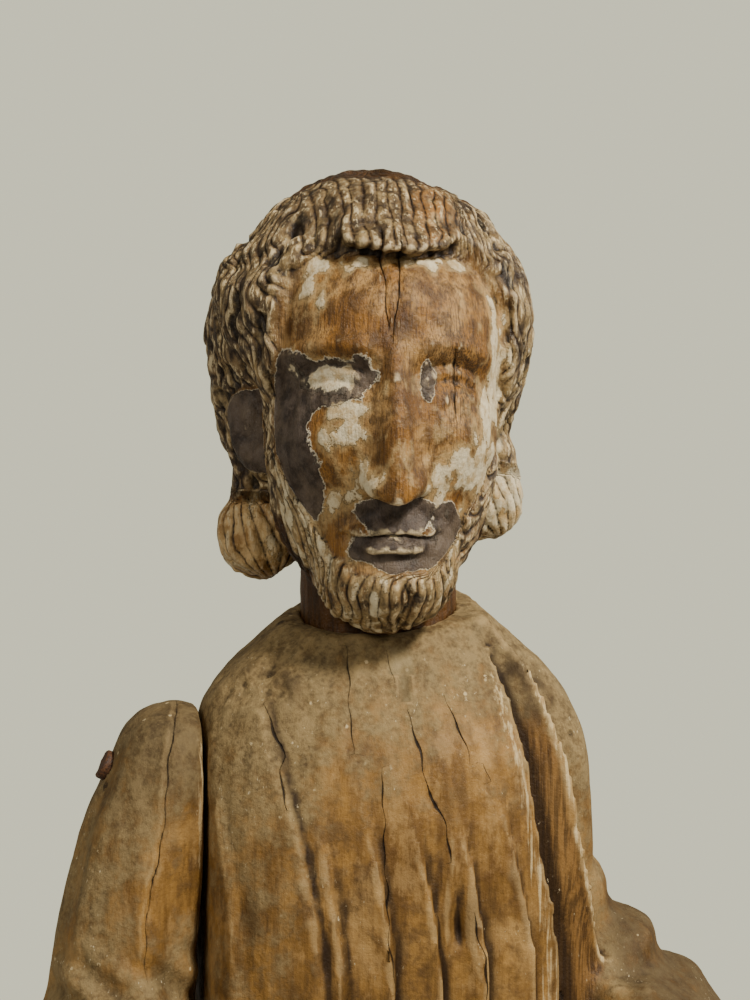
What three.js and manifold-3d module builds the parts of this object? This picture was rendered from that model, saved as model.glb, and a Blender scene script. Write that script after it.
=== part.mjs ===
// A carved wooden saint standing on a low plinth: a robe with a mantle over both shoulders, a
// separately carved head let into the collar, a separately carved right arm held by one peg,
// and the left arm covered by the mantle and carved with the body.
// Millimetres, +Z up, the figure faces -Y, its own left is +X. The origin is under the plinth.
import * as THREE from "three";
import { mergeVertices } from "three/addons/utils/BufferGeometryUtils.js";
import Module from "manifold-3d";

const wasm = await Module();
wasm.setup();

// ---- driving dimensions -------------------------------------------------------------------
const HEIGHT = 1110; // underside of the plinth to the top of the hair
const HEAD_HEIGHT = 210; // top of the hair to the tip of the beard
const PLINTH = { height: 60, step: 38, halfWidth: 176, halfDepth: 146, corner: 52, inset: 11 };
const GAP = 0.3; // clearance between pieces that touch
const SEAM = { x: -85, gap: 2, foot: 650, spread: 0.5 }; // flat joint between body and right arm
const NECK = { radius: 36, x: -2, y: 6, foot: 884 };
const PEG = { radius: 7, x: -130, y: 2, z: 840, length: 22, rise: 25 };

// The robe's outline at each height: z, half width, half depth, y of the centre.
const ROBE_STATIONS = [
  [PLINTH.height + GAP, 128, 101, 6],
  [180, 118, 93, 6],
  [360, 109, 85, 5],
  [540, 101, 78, 4],
  [680, 95, 72, 3],
  [790, 91, 68, 2],
  [838, 89, 63, 2],
  [864, 82, 57, 3],
  [882, 70, 51, 4],
  [896, 54, 45, 5],
  [908, 40, 39.5, 6],
];
// The mantle's front edges: z, angle of the right edge, angle of the left edge, in degrees.
const MANTLE_EDGES = [
  [60, -28, 42],
  [400, -25, 46],
  [750, -31, 52],
  [800, -37, 47],
  [840, -46, 44],
  [870, -56, 43],
  [908, -76, 46],
];
const MANTLE = { thickness: 5, hem: 150, hemRise: 45, edge: 5 };
// Folds of the inner robe and of the mantle: spacing and one ridge in degrees, depth high up and
// what is added towards the foot, and the heights over which they deepen and fade out.
const FLUTES = {
  spacing: 16.6,
  ridge: 7.2,
  depth: 6.5,
  added: 6,
  deepen: [100, 760],
  end: [745, 850],
};
const DRAPES = {
  spacing: 18,
  ridge: 70,
  depth: 4,
  added: 9,
  deepen: [200, 800],
  end: [790, 880],
};
const PLEAT = { steep: 0.3, bend: 1.7 }; // share of a fold that falls, and how late it rises again
const HOLLOW = { depth: 7, width: 6, end: [840, 900] }; // the valley along the mantle's left edge

// The cloth that hangs from the left forearm: z, half width, half depth, x and y of the centre.
const CLOTH_STATIONS = [
  [448, 16, 40, 113, -24],
  [470, 24, 50, 115, -22],
  [560, 30, 58, 117, -20],
  [660, 33, 60, 118, -18],
  [712, 30, 56, 115, -16],
  [738, 16, 38, 106, -12],
];
const CLOTH_FOLDS = { count: 7, depth: 4 };
// The right sleeve from the elbow up to the top of the shoulder, in the same columns.
const SLEEVE_STATIONS = [
  [672, 12, 14, -125, 6],
  [680, 25, 28, -125, 4],
  [700, 33, 38, -122.5, 2],
  [727, 33.5, 41, -121.5, 2],
  [760, 32.5, 41, -118, 2],
  [787, 31, 40, -114, 2],
  [815, 29, 38, -108, 2],
  [838, 26, 35, -101, 3],
  [856, 21, 27, -98, 3],
  [864, 13, 17, -97, 3],
  [867, 5, 7, -97, 3],
];
const SLEEVE_FOLDS = { count: 9, depth: 1.5 };

const LEFT_ARM = { shoulder: [80, 6, 768], elbow: [129, 2, 698], wrist: [108, -104, 704] };
const LEFT_FINGERS = { tip: [100, -128, 706], knuckles: [0.25, 0, 1] };
const RIGHT_ARM = { elbow: [-129, 0, 704], wrist: [-116, -100, 720] };
const RIGHT_FINGERS = { tip: [-113, -124, 728], knuckles: [-0.2, 0, 1] };

// The head's masses about its centre, which is on the eye line half way down the head.
const HEAD = { x: -5, y: -2, z: HEIGHT - HEAD_HEIGHT / 2 + 1, turn: 6 };
const CROWN = { centre: [-2, 11, 27], radii: [75.5, 82, 75] };
const NAPE = { centre: [-2, 24, -12], radii: [67, 60, 50] };
const FACE = { centre: [0, -18, -10], radii: [53, 62, 84] };
const BEARD = { centre: [0, -40, -72], radii: [31, 34, 34] };
const HAIRLINE = { middle: 3, side: 56, top: 60, drop: 26, fringe: 8, fringeHalfWidth: 27 };
const LOCKS = { height: 2, count: 13, slant: 4 }; // of the hair
const STRANDS = { height: 1.5, count: 16 }; // of the beard
// Only the right ear shows: a plate turned forwards, in a hollow of the hair.
const EAR = { centre: [-54, -12, -11], radii: [6, 16, 24], flare: 48 };
const EAR_HOLLOW = { depth: 14, turn: -71, z: -8, width: 14, height: 25 };
const LEFT_HOLLOW = { depth: 5, turn: 78, z: -14, width: 22, height: 20 };
const CURLS = [
  { centre: [-52, 19, -64], radii: [19, 19, 20] },
  { centre: [55, 16, -49], radii: [16, 17, 17] },
];

// ---- small helpers --------------------------------------------------------------------------
const degrees = THREE.MathUtils.radToDeg;
const radians = THREE.MathUtils.degToRad;
const fade = THREE.MathUtils.smoothstep;
const vector = (point) => new THREE.Vector3(...point);
const bump = (a, b, middleA, middleB, widthA, widthB) =>
  Math.exp(-(((a - middleA) / widthA) ** 2) - ((b - middleB) / widthB) ** 2);

// Column `column` of a table whose first column is z, as a smooth curve through the rows.
function along(table, column, z) {
  const last = table.length - 1;
  if (z <= table[0][0]) return table[0][column];
  if (z >= table[last][0]) return table[last][column];
  const slope = (i) => {
    const below = table[Math.max(i - 1, 0)];
    const above = table[Math.min(i + 1, last)];
    return (above[column] - below[column]) / (above[0] - below[0]);
  };
  const i = table.findIndex((row) => row[0] > z) - 1;
  const step = table[i + 1][0] - table[i][0];
  const t = (z - table[i][0]) / step;
  const keep = (1 + 2 * t) * (1 - t) ** 2;
  return (
    keep * table[i][column] +
    (1 - keep) * table[i + 1][column] +
    step * t * (1 - t) * ((1 - t) * slope(i) - t * slope(i + 1))
  );
}

function solid(geometry) {
  const bare = new THREE.BufferGeometry()
    .setAttribute("position", geometry.getAttribute("position"))
    .setIndex(geometry.index);
  const merged = mergeVertices(bare, 1e-3);
  return new wasm.Manifold(
    new wasm.Mesh({
      numProp: 3,
      vertProperties: new Float32Array(merged.attributes.position.array),
      triVerts: new Uint32Array(merged.index.array),
    }),
  );
}

function geometryOf(manifold) {
  const mesh = manifold.getMesh();
  const geometry = new THREE.BufferGeometry()
    .setAttribute("position", new THREE.BufferAttribute(mesh.vertProperties, 3))
    .setIndex(new THREE.BufferAttribute(mesh.triVerts, 1));
  geometry.computeVertexNormals();
  return geometry;
}

const join = (solids) => solids.reduce((whole, next) => whole.add(next));

// A closed body whose rows rise from t = 0 to 1; place(angle, t) gives a point of the outline
// and middle(t) the centre that the flat ends are closed to. Angle 0 is the front, + the left.
function loft(sides, rows, place, middle) {
  const geometry = new THREE.CylinderGeometry(1, 1, 1, sides, rows);
  const position = geometry.getAttribute("position");
  const p = new THREE.Vector3();
  for (let i = 0; i < position.count; i++) {
    p.fromBufferAttribute(position, i);
    const t = p.y + 0.5;
    const onOutline = Math.hypot(p.x, p.z) > 0.5;
    const q = onOutline ? place(Math.atan2(p.x, p.z), t) : middle(t);
    position.setXYZ(i, q.x, q.y, q.z);
  }
  return solid(geometry);
}

// A closed ball of points; place(direction) moves each point of the unit sphere.
function ball(sides, rows, place) {
  const geometry = new THREE.SphereGeometry(1, sides, rows);
  geometry.rotateX(Math.PI / 2);
  const position = geometry.getAttribute("position");
  const p = new THREE.Vector3();
  for (let i = 0; i < position.count; i++) {
    const q = place(p.fromBufferAttribute(position, i));
    position.setXYZ(i, q.x, q.y, q.z);
  }
  return solid(geometry);
}

function ellipsoid(centre, radii, sides = 12, rows = 8) {
  return ball(sides, rows, (p) => p.multiply(vector(radii)).add(vector(centre)));
}

// A round limb from one point to another, whose radius may carry rings of folds.
function limb(from, to, fromRadius, toRadius, rings = 0, sides = 14, rows = 1) {
  const a = vector(from);
  const run = vector(to).sub(a);
  const length = run.length();
  const geometry = new THREE.CylinderGeometry(1, 1, 1, sides, rows);
  const position = geometry.getAttribute("position");
  for (let i = 0; i < position.count; i++) {
    const t = position.getY(i) + 0.5;
    const swell = rings ? 2.5 * Math.cos(2 * Math.PI * rings * t) : 0;
    const radius = fromRadius + (toRadius - fromRadius) * t + swell;
    position.setXYZ(i, position.getX(i) * radius, t * length, position.getZ(i) * radius);
  }
  const upwards = new THREE.Vector3(0, 1, 0);
  const turn = new THREE.Quaternion().setFromUnitVectors(upwards, run.normalize());
  geometry.applyQuaternion(turn).translate(a.x, a.y, a.z);
  return solid(geometry);
}

function block(low, high) {
  const size = vector(high).sub(vector(low));
  const geometry = new THREE.BoxGeometry(size.x, size.y, size.z);
  geometry.translate(low[0] + size.x / 2, low[1] + size.y / 2, low[2] + size.z / 2);
  return solid(geometry);
}

function upright(radius, low, high) {
  const geometry = new THREE.CylinderGeometry(radius, radius, high - low, 28);
  geometry.rotateX(Math.PI / 2).translate(NECK.x, NECK.y, (low + high) / 2);
  return solid(geometry);
}

// A round bar along the peg's line, from beyond its outer end inwards; the line rises outwards
// with the slope of the shoulder.
function pegBar(radius, outside, inside) {
  const geometry = new THREE.CylinderGeometry(radius, radius, outside + inside, 16);
  geometry.translate(0, (outside - inside) / 2, 0).rotateZ(radians(90 - PEG.rise));
  return solid(geometry.translate(PEG.x, PEG.y, PEG.z));
}

// ---- plinth ---------------------------------------------------------------------------------
function plinthSlab(inset, low, high) {
  const w = PLINTH.halfWidth - inset;
  const d = PLINTH.halfDepth - inset;
  const c = PLINTH.corner;
  const quarter = [new THREE.Vector2(w, d - c), new THREE.Vector2(w - c, d)];
  const mirrored = (sx, sy) => quarter.map((q) => new THREE.Vector2(q.x * sx, q.y * sy));
  const shape = new THREE.Shape([
    ...quarter,
    ...mirrored(-1, 1).reverse(),
    ...mirrored(-1, -1),
    ...mirrored(1, -1).reverse(),
  ]);
  const geometry = new THREE.ExtrudeGeometry(shape, { depth: high - low, bevelEnabled: false });
  return solid(geometry.translate(0, 0, low));
}

function plinth() {
  const lower = plinthSlab(0, 0, PLINTH.step);
  return lower.add(plinthSlab(PLINTH.inset, PLINTH.step - 1, PLINTH.height));
}

// ---- robe and mantle ------------------------------------------------------------------------
// A pleat that drops steeply from its ridge, 0.5, into the trough, -0.5, and rises slowly to the
// next ridge.
function fold(phase) {
  const t = phase - Math.floor(phase);
  const rise = THREE.MathUtils.clamp((t - PLEAT.steep) / (1 - PLEAT.steep), 0, 1);
  return 0.5 - fade(t, 0, PLEAT.steep) + rise ** PLEAT.bend;
}

function folded({ spacing, ridge, depth, added, deepen, end }, strip, z) {
  const size = (depth + added * (1 - fade(z, ...deepen))) * (1 - fade(z, ...end));
  return size * fold((strip - ridge) / spacing);
}

function outline(angle, halfWidth, halfDepth, boxiness = 2.4) {
  const across = Math.abs(Math.sin(angle)) / halfWidth;
  const forward = Math.abs(Math.cos(angle)) / halfDepth;
  return (across ** boxiness + forward ** boxiness) ** (-1 / boxiness);
}

// The folds are laid out on a strip from -180 to 180 on which both mantle edges run straight
// up, at RIGHT and LEFT. Wrapping it round the body bends the strip along the real edges.
const RIGHT = -31;
const LEFT = 52;
function wrapped(strip, z) {
  const right = along(MANTLE_EDGES, 1, z);
  const left = along(MANTLE_EDGES, 2, z);
  if (strip < RIGHT) return -180 + ((strip + 180) * (right + 180)) / (RIGHT + 180);
  if (strip > LEFT) return 180 - ((180 - strip) * (180 - left)) / (180 - LEFT);
  return right + ((strip - RIGHT) * (left - right)) / (LEFT - RIGHT);
}

function foldHeight(strip, z) {
  const inner = folded(FLUTES, strip, z);
  const outer = folded(DRAPES, strip, z) + MANTLE.thickness;
  const valley = Math.exp(-(((strip - LEFT) / HOLLOW.width) ** 2)) * (1 - fade(z, ...HOLLOW.end));
  const hem = MANTLE.hem + MANTLE.hemRise * Math.cos(radians(strip)) ** 2;
  const besideEdges =
    fade(RIGHT - strip, -1, MANTLE.edge) + fade(strip - LEFT, -1, MANTLE.edge);
  const covered = besideEdges * fade(z, hem - 4, hem + 4);
  return (1 - covered) * (inner - HOLLOW.depth * valley) + covered * outer;
}

function robe() {
  const low = ROBE_STATIONS[0][0];
  const high = ROBE_STATIONS[ROBE_STATIONS.length - 1][0];
  // Rows crowd towards the shoulders, where the outline turns in.
  const height = (t) => low + (high - low) * (1 - (1 - t) ** 1.7);
  const middle = (t) => new THREE.Vector3(0, along(ROBE_STATIONS, 3, height(t)), height(t));
  const place = (strip, t) => {
    const z = height(t);
    const angle = radians(wrapped(degrees(strip), z));
    const body = outline(angle, along(ROBE_STATIONS, 1, z), along(ROBE_STATIONS, 2, z));
    const radius = body + foldHeight(degrees(strip), z);
    // The neckline dips at the front and rises a little on the left.
    const drop = (9 * Math.cos(angle) - 4 * Math.sin(angle)) * fade(z, 860, high);
    const q = middle(t);
    return q.set(radius * Math.sin(angle), q.y - radius * Math.cos(angle), z - drop);
  };
  return loft(72, 18, place, middle);
}

// An upright cloth form given by stations with its own centre at each height.
function clothForm(stations, folds, sides, rows) {
  const low = stations[0][0];
  const high = stations[stations.length - 1][0];
  const middle = (t) => {
    const z = low + (high - low) * (0.5 - 0.5 * Math.cos(Math.PI * t));
    return new THREE.Vector3(along(stations, 3, z), along(stations, 4, z), z);
  };
  const place = (angle, t) => {
    const q = middle(t);
    const size = outline(angle, along(stations, 1, q.z), along(stations, 2, q.z), 2.2);
    const radius = size + folds.depth * Math.cos(folds.count * angle) * Math.sin(Math.PI * t);
    return q.set(q.x + radius * Math.sin(angle), q.y - radius * Math.cos(angle), q.z);
  };
  return loft(sides, rows, place, middle);
}

// ---- hands ----------------------------------------------------------------------------------
// A plain open hand from the wrist; the knuckles lie along `knuckles`.
function hand(wrist, { tip, knuckles }) {
  const start = vector(wrist);
  const ahead = vector(tip).sub(start).normalize();
  const side = vector(knuckles).normalize();
  const palmward = new THREE.Vector3().crossVectors(ahead, side);
  const at = (forward, sideways, down) => {
    const point = start.clone().addScaledVector(ahead, forward);
    return point.addScaledVector(side, sideways).addScaledVector(palmward, down).toArray();
  };
  const pieces = [limb(at(-14, 0, 0), at(16, 0, 0), 15, 14, 0, 10)];
  [24, 29, 27, 20].forEach((length, i) => {
    const sideways = (i - 1.5) * 8.6;
    pieces.push(limb(at(6, sideways, 0), at(40, sideways, 1), 8, 7, 0, 7));
    pieces.push(limb(at(37, sideways, 1), at(38 + length, sideways, 8), 6.4, 5, 0, 6));
  });
  pieces.push(limb(at(8, -14, 4), at(40, -23, 12), 8, 5.6, 0, 7));
  return join(pieces);
}

// ---- body, with the left arm ----------------------------------------------------------------
// Everything beyond the flat joint with the right arm. Below the elbow the joint slopes away,
// so that it leaves the wider skirt whole.
function seamSide() {
  const far = -400;
  const shape = new THREE.Shape([
    new THREE.Vector2(SEAM.x, HEIGHT),
    new THREE.Vector2(far, HEIGHT),
    new THREE.Vector2(far, SEAM.foot - (SEAM.x - far) / SEAM.spread),
    new THREE.Vector2(SEAM.x, SEAM.foot),
  ]);
  const geometry = new THREE.ExtrudeGeometry(shape, { depth: 600, bevelEnabled: false });
  geometry.rotateX(Math.PI / 2).translate(0, 300, 0);
  return solid(geometry);
}

function body() {
  const { shoulder, elbow, wrist } = LEFT_ARM;
  const toes = [-1, 1].map((side) => ellipsoid([side * 40, -90, 68], [25, 36, 19], 10, 7));
  const whole = join([
    robe(),
    clothForm(CLOTH_STATIONS, CLOTH_FOLDS, 28, 7),
    limb(shoulder, elbow, 27, 38, 2.5, 12, 8),
    ellipsoid(elbow, [37, 38, 38], 12, 7),
    limb(elbow, wrist, 36, 27, 1.5, 12, 6),
    hand(wrist, LEFT_FINGERS),
    ...toes,
  ]);
  const socket = upright(NECK.radius + GAP, NECK.foot - GAP, HEIGHT);
  const belowFeet = block([-300, -300, 0], [300, 300, PLINTH.height + GAP]);
  return whole.subtract(socket).subtract(belowFeet).subtract(seamSide());
}

// ---- right arm ------------------------------------------------------------------------------
function rightArm() {
  const { elbow, wrist } = RIGHT_ARM;
  const whole = join([
    clothForm(SLEEVE_STATIONS, SLEEVE_FOLDS, 27, 10),
    limb(elbow, wrist, 32, 28, 1.5, 12, 6),
    hand(wrist, RIGHT_FINGERS),
  ]);
  const flatJoint = block([SEAM.x - SEAM.gap, -62, 400], [200, 300, HEIGHT]);
  const pegHole = pegBar(PEG.radius + GAP, 40, PEG.length + GAP);
  return whole.subtract(flatJoint).subtract(pegHole);
}

const peg = () => pegBar(PEG.radius, 0, PEG.length);

// ---- head -----------------------------------------------------------------------------------
// How far an ellipsoid that holds the origin reaches along a direction.
function reach({ centre, radii }, direction) {
  const d = direction.clone().divide(vector(radii));
  const c = vector(centre).divide(vector(radii));
  const a = d.lengthSq();
  const b = d.dot(c);
  return (b + Math.sqrt(Math.max(0, b * b + a * (1 - c.lengthSq())))) / a;
}

// The larger of two distances, with the meeting line rounded over `width`.
function blendedMax(a, b, width) {
  const near = Math.max(width - Math.abs(a - b), 0);
  return Math.max(a, b) + (near * near) / (4 * width);
}

// The calm, plain face, as relief on the front of the head: x across, z up from the eye line.
function faceRelief(x, z) {
  const side = Math.abs(x);
  const down = THREE.MathUtils.clamp((14 - z) / 55, 0, 1); // from the brow to the nose's tip
  const brow = 3 * bump(side, z, 26, 15, 18, 6);
  const socket = -8 * bump(side, z, 27, 1, 17, 9);
  const lid = 5.5 * bump(side, z, 28, -2, 12, 6);
  const bridge = (4 + 12 * down) * bump(x, 0, 0, 0, 7 + 5 * down, 1);
  const nose = bridge * fade(z, -46, -40) * (1 - fade(z, 10, 26));
  const cheek = 3 * bump(side, z, 36, -26, 16, 14);
  const lips = 4 * bump(x, z, 0, -54, 16, 4) + 4 * bump(x, z, 0, -63, 13, 4.5);
  return brow + socket + lid + nose + cheek + lips;
}

// Distance of the carved surface from the head's centre.
function headRadius(d) {
  const turn = degrees(Math.atan2(d.x, -d.y));
  const away = Math.abs(turn - HAIRLINE.middle);
  const flat = reach(FACE, d);
  const x = flat * d.x;
  const z = flat * d.z;
  const line = HAIRLINE.top - HAIRLINE.drop * (away / HAIRLINE.side) ** 3;
  const beside = fade(away, HAIRLINE.side - 6, HAIRLINE.side);
  const above = fade(z, line - 4, line + 2);
  const hairy = Math.max(beside, above);
  const wave = Math.cos(radians(turn) * LOCKS.count + d.z * LOCKS.slant);
  const locks = LOCKS.height * wave * Math.sqrt(1 - d.z ** 2);
  const sunk = (h) => h.depth * bump(turn, z, h.turn, h.z, h.width, h.height);
  const hollow = sunk(EAR_HOLLOW) + sunk(LEFT_HOLLOW);
  const hair = blendedMax(reach(CROWN, d), reach(NAPE, d), 14) + locks - hollow;
  const strands = STRANDS.height * Math.cos(radians(turn) * STRANDS.count) * fade(-z, 60, 75);
  const face = blendedMax(flat, reach(BEARD, d) + strands, 12) + (1 - hairy) * faceRelief(x, z);
  const tuft = 1 - fade(Math.abs(x), HAIRLINE.fringeHalfWidth, HAIRLINE.fringeHalfWidth + 5);
  const fringe = HAIRLINE.fringe * tuft * above * (1 - fade(d.z, 0.86, 0.97));
  return (1 - hairy) * face + hairy * Math.max(face, hair) + fringe * fade(-d.y, 0, 0.3);
}

// A lock rolled outwards at the jaw, with ridges that wind round it.
function curl({ centre, radii }) {
  return ball(14, 9, (p) => {
    const wind = 1 + 0.08 * Math.cos(4 * Math.atan2(p.x, p.z) + 5 * p.y);
    return p.multiply(vector(radii)).multiplyScalar(wind).add(vector(centre));
  });
}

function head() {
  // The grid of points crowds towards the face.
  const place = (p) => {
    const turn = Math.atan2(p.x, -p.y);
    const rise = Math.asin(THREE.MathUtils.clamp(p.z, -1, 1));
    const closeTurn = turn - 0.42 * Math.sin(turn);
    const closeRise = rise - 0.2 * Math.sin(2 * (rise + 0.25)) * Math.cos(rise) ** 2;
    const level = Math.cos(closeRise);
    p.set(level * Math.sin(closeTurn), -level * Math.cos(closeTurn), Math.sin(closeRise));
    return p.multiplyScalar(headRadius(p));
  };
  const ear = ellipsoid([0, 0, 0], EAR.radii, 9, 7).rotate([0, 0, EAR.flare]).translate(EAR.centre);
  const carved = join([ball(42, 32, place), ...CURLS.map(curl), ear]);
  const placed = carved.rotate([0, 0, -HEAD.turn]).translate([HEAD.x, HEAD.y, HEAD.z]);
  return placed.add(upright(NECK.radius, NECK.foot, HEAD.z - 30));
}

// ---- the statue -----------------------------------------------------------------------------
const bareWood = { color: 0x9a7547, roughness: 0.55, metalness: 0 };
const darkWood = { color: 0x6b4a28, roughness: 0.6, metalness: 0 };
const plinthWood = { color: 0x7d6440, roughness: 0.7, metalness: 0 };

const statue = new THREE.Group();
function addPiece(name, manifold, look) {
  const mesh = new THREE.Mesh(geometryOf(manifold), new THREE.MeshStandardMaterial(look));
  mesh.name = name;
  statue.add(mesh);
}
addPiece("plinth", plinth(), plinthWood);
addPiece("body", body(), bareWood);
addPiece("head", head(), bareWood);
addPiece("right_arm", rightArm(), bareWood);
addPiece("arm_peg", peg(), darkWood);

export default statue;
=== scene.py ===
"""A carved wooden saint on a low plinth: weathered limewood with paint and gesso remains.

Every carved piece is worked out as a solid field (negative inside) in millimetres, meshed on
a grid, and then engraved along its normals. The pieces stand where the CAD nodes stand.
"""
import math

import bpy
import numpy as np
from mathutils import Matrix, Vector


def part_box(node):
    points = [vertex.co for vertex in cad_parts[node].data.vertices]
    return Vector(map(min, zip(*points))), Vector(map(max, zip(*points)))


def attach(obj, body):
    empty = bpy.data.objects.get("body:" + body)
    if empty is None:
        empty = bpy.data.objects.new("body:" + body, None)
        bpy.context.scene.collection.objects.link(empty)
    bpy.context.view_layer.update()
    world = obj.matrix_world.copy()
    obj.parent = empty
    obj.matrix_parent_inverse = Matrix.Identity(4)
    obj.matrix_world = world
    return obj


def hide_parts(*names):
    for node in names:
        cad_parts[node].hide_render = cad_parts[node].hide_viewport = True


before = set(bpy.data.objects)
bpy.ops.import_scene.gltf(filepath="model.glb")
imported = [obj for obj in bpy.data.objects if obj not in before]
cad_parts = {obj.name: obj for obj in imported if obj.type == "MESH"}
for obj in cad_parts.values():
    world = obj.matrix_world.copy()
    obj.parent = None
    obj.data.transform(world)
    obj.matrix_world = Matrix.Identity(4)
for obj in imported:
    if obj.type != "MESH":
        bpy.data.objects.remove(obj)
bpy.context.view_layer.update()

MM = 0.001

# ---- sizes from the frame, in millimetres ---------------------------------------------------


def box_mm(node):
    low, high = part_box(node)
    return np.array(low) / MM, np.array(high) / MM


PLINTH_LOW, PLINTH_HIGH = box_mm("plinth")
BODY_LOW, BODY_HIGH = box_mm("body")
ARM_LOW, ARM_HIGH = box_mm("right_arm")
HEAD_LOW, HEAD_HIGH = box_mm("head")
PEG_LOW, PEG_HIGH = box_mm("arm_peg")

FLOOR_OF_ROBE = BODY_LOW[2]
NECK_CENTRE = (-2.0, 6.0)
NECK_RADIUS = 36.0
NECK_FOOT = HEAD_LOW[2]
GLUE_GAP = 0.3
# The open joint beside the chest; below its foot the body's flat side leans outwards.
SEAM_X = -85.0
SEAM_FOOT = 650.0
SEAM_LEAN = 0.5
SEAM_SCALE = 0.894
JOINT_GAP = 2.0
JOINT_FRONT = -62.0
HEAD_CENTRE = np.array([-5.0, -2.0, 1005.0])
HEAD_TURN = 6.0

# ---- camera and studio ----------------------------------------------------------------------
# The camera stands a little to the figure's right and level with the mouth.
VIEW_AZIMUTH = math.radians(-12.0)
VIEW_HEIGHT = 957.7
VIEW_OFFSET = -4.6
VIEW_DISTANCE = 860.0
FRAME_HEIGHT = 461.5


def make_camera():
    back = Vector((math.sin(VIEW_AZIMUTH), -math.cos(VIEW_AZIMUTH), 0))
    right = Vector((math.cos(VIEW_AZIMUTH), math.sin(VIEW_AZIMUTH), 0))
    target = (right * VIEW_OFFSET + Vector((0, 0, VIEW_HEIGHT))) * MM
    camera = bpy.data.cameras.new("camera")
    camera.sensor_fit = "AUTO"
    camera.angle = 2 * math.atan(FRAME_HEIGHT / 2 / VIEW_DISTANCE)
    thing = bpy.data.objects.new("camera", camera)
    bpy.context.scene.collection.objects.link(thing)
    thing.location = target + back * VIEW_DISTANCE * MM
    thing.rotation_euler = back.to_track_quat("Z", "Y").to_euler()
    bpy.context.scene.camera = thing


make_camera()


def make_light(name, place, aim, size, power, colour):
    lamp = bpy.data.lights.new(name, "AREA")
    lamp.shape = "DISK"
    lamp.size = size
    lamp.energy = power
    lamp.color = colour
    thing = bpy.data.objects.new(name, lamp)
    bpy.context.scene.collection.objects.link(thing)
    thing.location = place
    thing.rotation_euler = (Vector(aim) - Vector(place)).to_track_quat("-Z", "Y").to_euler()


def make_studio():
    chest = (0, 0, 0.95)
    make_light("key", (0.50, -0.95, 1.85), chest, size=0.28, power=27, colour=(1.0, 0.95, 0.86))
    make_light("left", (-1.2, -0.9, 1.6), chest, size=0.8, power=7, colour=(1.0, 0.97, 0.92))
    make_light("right", (1.4, -0.1, 1.5), chest, size=0.7, power=8, colour=(1.0, 0.96, 0.88))
    world = bpy.data.worlds.new("studio")
    bpy.context.scene.world = world
    world.use_nodes = True
    tree = world.node_tree
    room = tree.nodes["Background"]
    room.inputs["Color"].default_value = (0.78, 0.73, 0.60, 1)
    room.inputs["Strength"].default_value = 0.28
    wall = tree.nodes.new("ShaderNodeBackground")
    wall.inputs["Color"].default_value = (0.85, 0.83, 0.62, 1)
    wall.inputs["Strength"].default_value = 1.0
    ray = tree.nodes.new("ShaderNodeLightPath")
    choice = tree.nodes.new("ShaderNodeMixShader")
    tree.links.new(ray.outputs["Is Camera Ray"], choice.inputs["Fac"])
    tree.links.new(room.outputs[0], choice.inputs[1])
    tree.links.new(wall.outputs[0], choice.inputs[2])
    tree.links.new(choice.outputs[0], tree.nodes["World Output"].inputs["Surface"])
    bpy.ops.mesh.primitive_circle_add(vertices=96, radius=2.2, fill_type="NGON")
    floor = bpy.context.object
    floor.name = "floor"
    pale = bpy.data.materials.new("floor")
    pale.use_nodes = True
    shader = pale.node_tree.nodes["Principled BSDF"]
    shader.inputs["Base Color"].default_value = (0.62, 0.61, 0.57, 1)
    shader.inputs["Roughness"].default_value = 0.8
    floor.data.materials.append(pale)


make_studio()

# ---- numbers --------------------------------------------------------------------------------


def fade(x, low, high):
    t = np.clip((x - low) / (high - low), 0, 1)
    return t * t * (3 - 2 * t)


def fall(x, low, high):
    return 1 - fade(x, low, high)


def mix(a, b, share):
    return a + (b - a) * share


def bell(x, middle, width):
    return np.exp(-(((x - middle) / width) ** 2))


def spot(a, b, middle_a, middle_b, width_a, width_b):
    return bell(a, middle_a, width_a) * bell(b, middle_b, width_b)


def larger(a, b, width):
    """The larger of two fields, with the edge between them rounded."""
    near = np.maximum(width - np.abs(a - b), 0)
    return np.maximum(a, b) + near * near / (4 * width)


def smaller(a, b, width):
    return -larger(-a, -b, width)


def chance(ix, iy, iz, seed):
    """A repeatable random number from 0 to 1 for each grid point."""
    n = (ix * 73856093) ^ (iy * 19349663) ^ (iz * 83492791) ^ (seed * 95643817 + 7919)
    n = ((n ^ (n >> 13)) * 1274126177) & 0xFFFFFFFF
    return ((n ^ (n >> 16)) & 0xFFFF) / 65535.0


def noise(p, size, seed=0):
    """Smooth noise from -1 to 1; size is the length of one wave, one for each axis if a list."""
    q = p / np.asarray(size, float)
    cell = np.floor(q).astype(np.int64)
    f = q - cell
    f = f * f * (3 - 2 * f)
    total = np.zeros(len(p))
    for dx in (0, 1):
        wx = f[:, 0] if dx else 1 - f[:, 0]
        for dy in (0, 1):
            wy = f[:, 1] if dy else 1 - f[:, 1]
            for dz in (0, 1):
                wz = f[:, 2] if dz else 1 - f[:, 2]
                total += wx * wy * wz * chance(cell[:, 0] + dx, cell[:, 1] + dy, cell[:, 2] + dz, seed)
    return 2 * total - 1


def rough(p, size, seed=0, layers=3):
    size = np.asarray(size, float)
    total = sum(noise(p, size / 2**i, seed + 31 * i) / 2**i for i in range(layers))
    return total / 1.5


def curve_through(stations, column):
    """A smooth function of z through a table whose first column is z."""
    z = np.array([row[0] for row in stations], float)
    v = np.array([row[column] for row in stations], float)
    slope = np.gradient(v, z)
    inner = (v[2:] - v[:-2]) / (z[2:] - z[:-2])
    slope[1:-1] = inner
    fine = np.linspace(z[0], z[-1], 2000)
    i = np.clip(np.searchsorted(z, fine, side="right") - 1, 0, len(z) - 2)
    step = z[i + 1] - z[i]
    t = (fine - z[i]) / step
    keep = (1 + 2 * t) * (1 - t) ** 2
    bend = step * t * (1 - t) * ((1 - t) * slope[i] - t * slope[i + 1])
    values = keep * v[i] + (1 - keep) * v[i + 1] + bend
    return lambda at: np.interp(at, fine, values)


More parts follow.
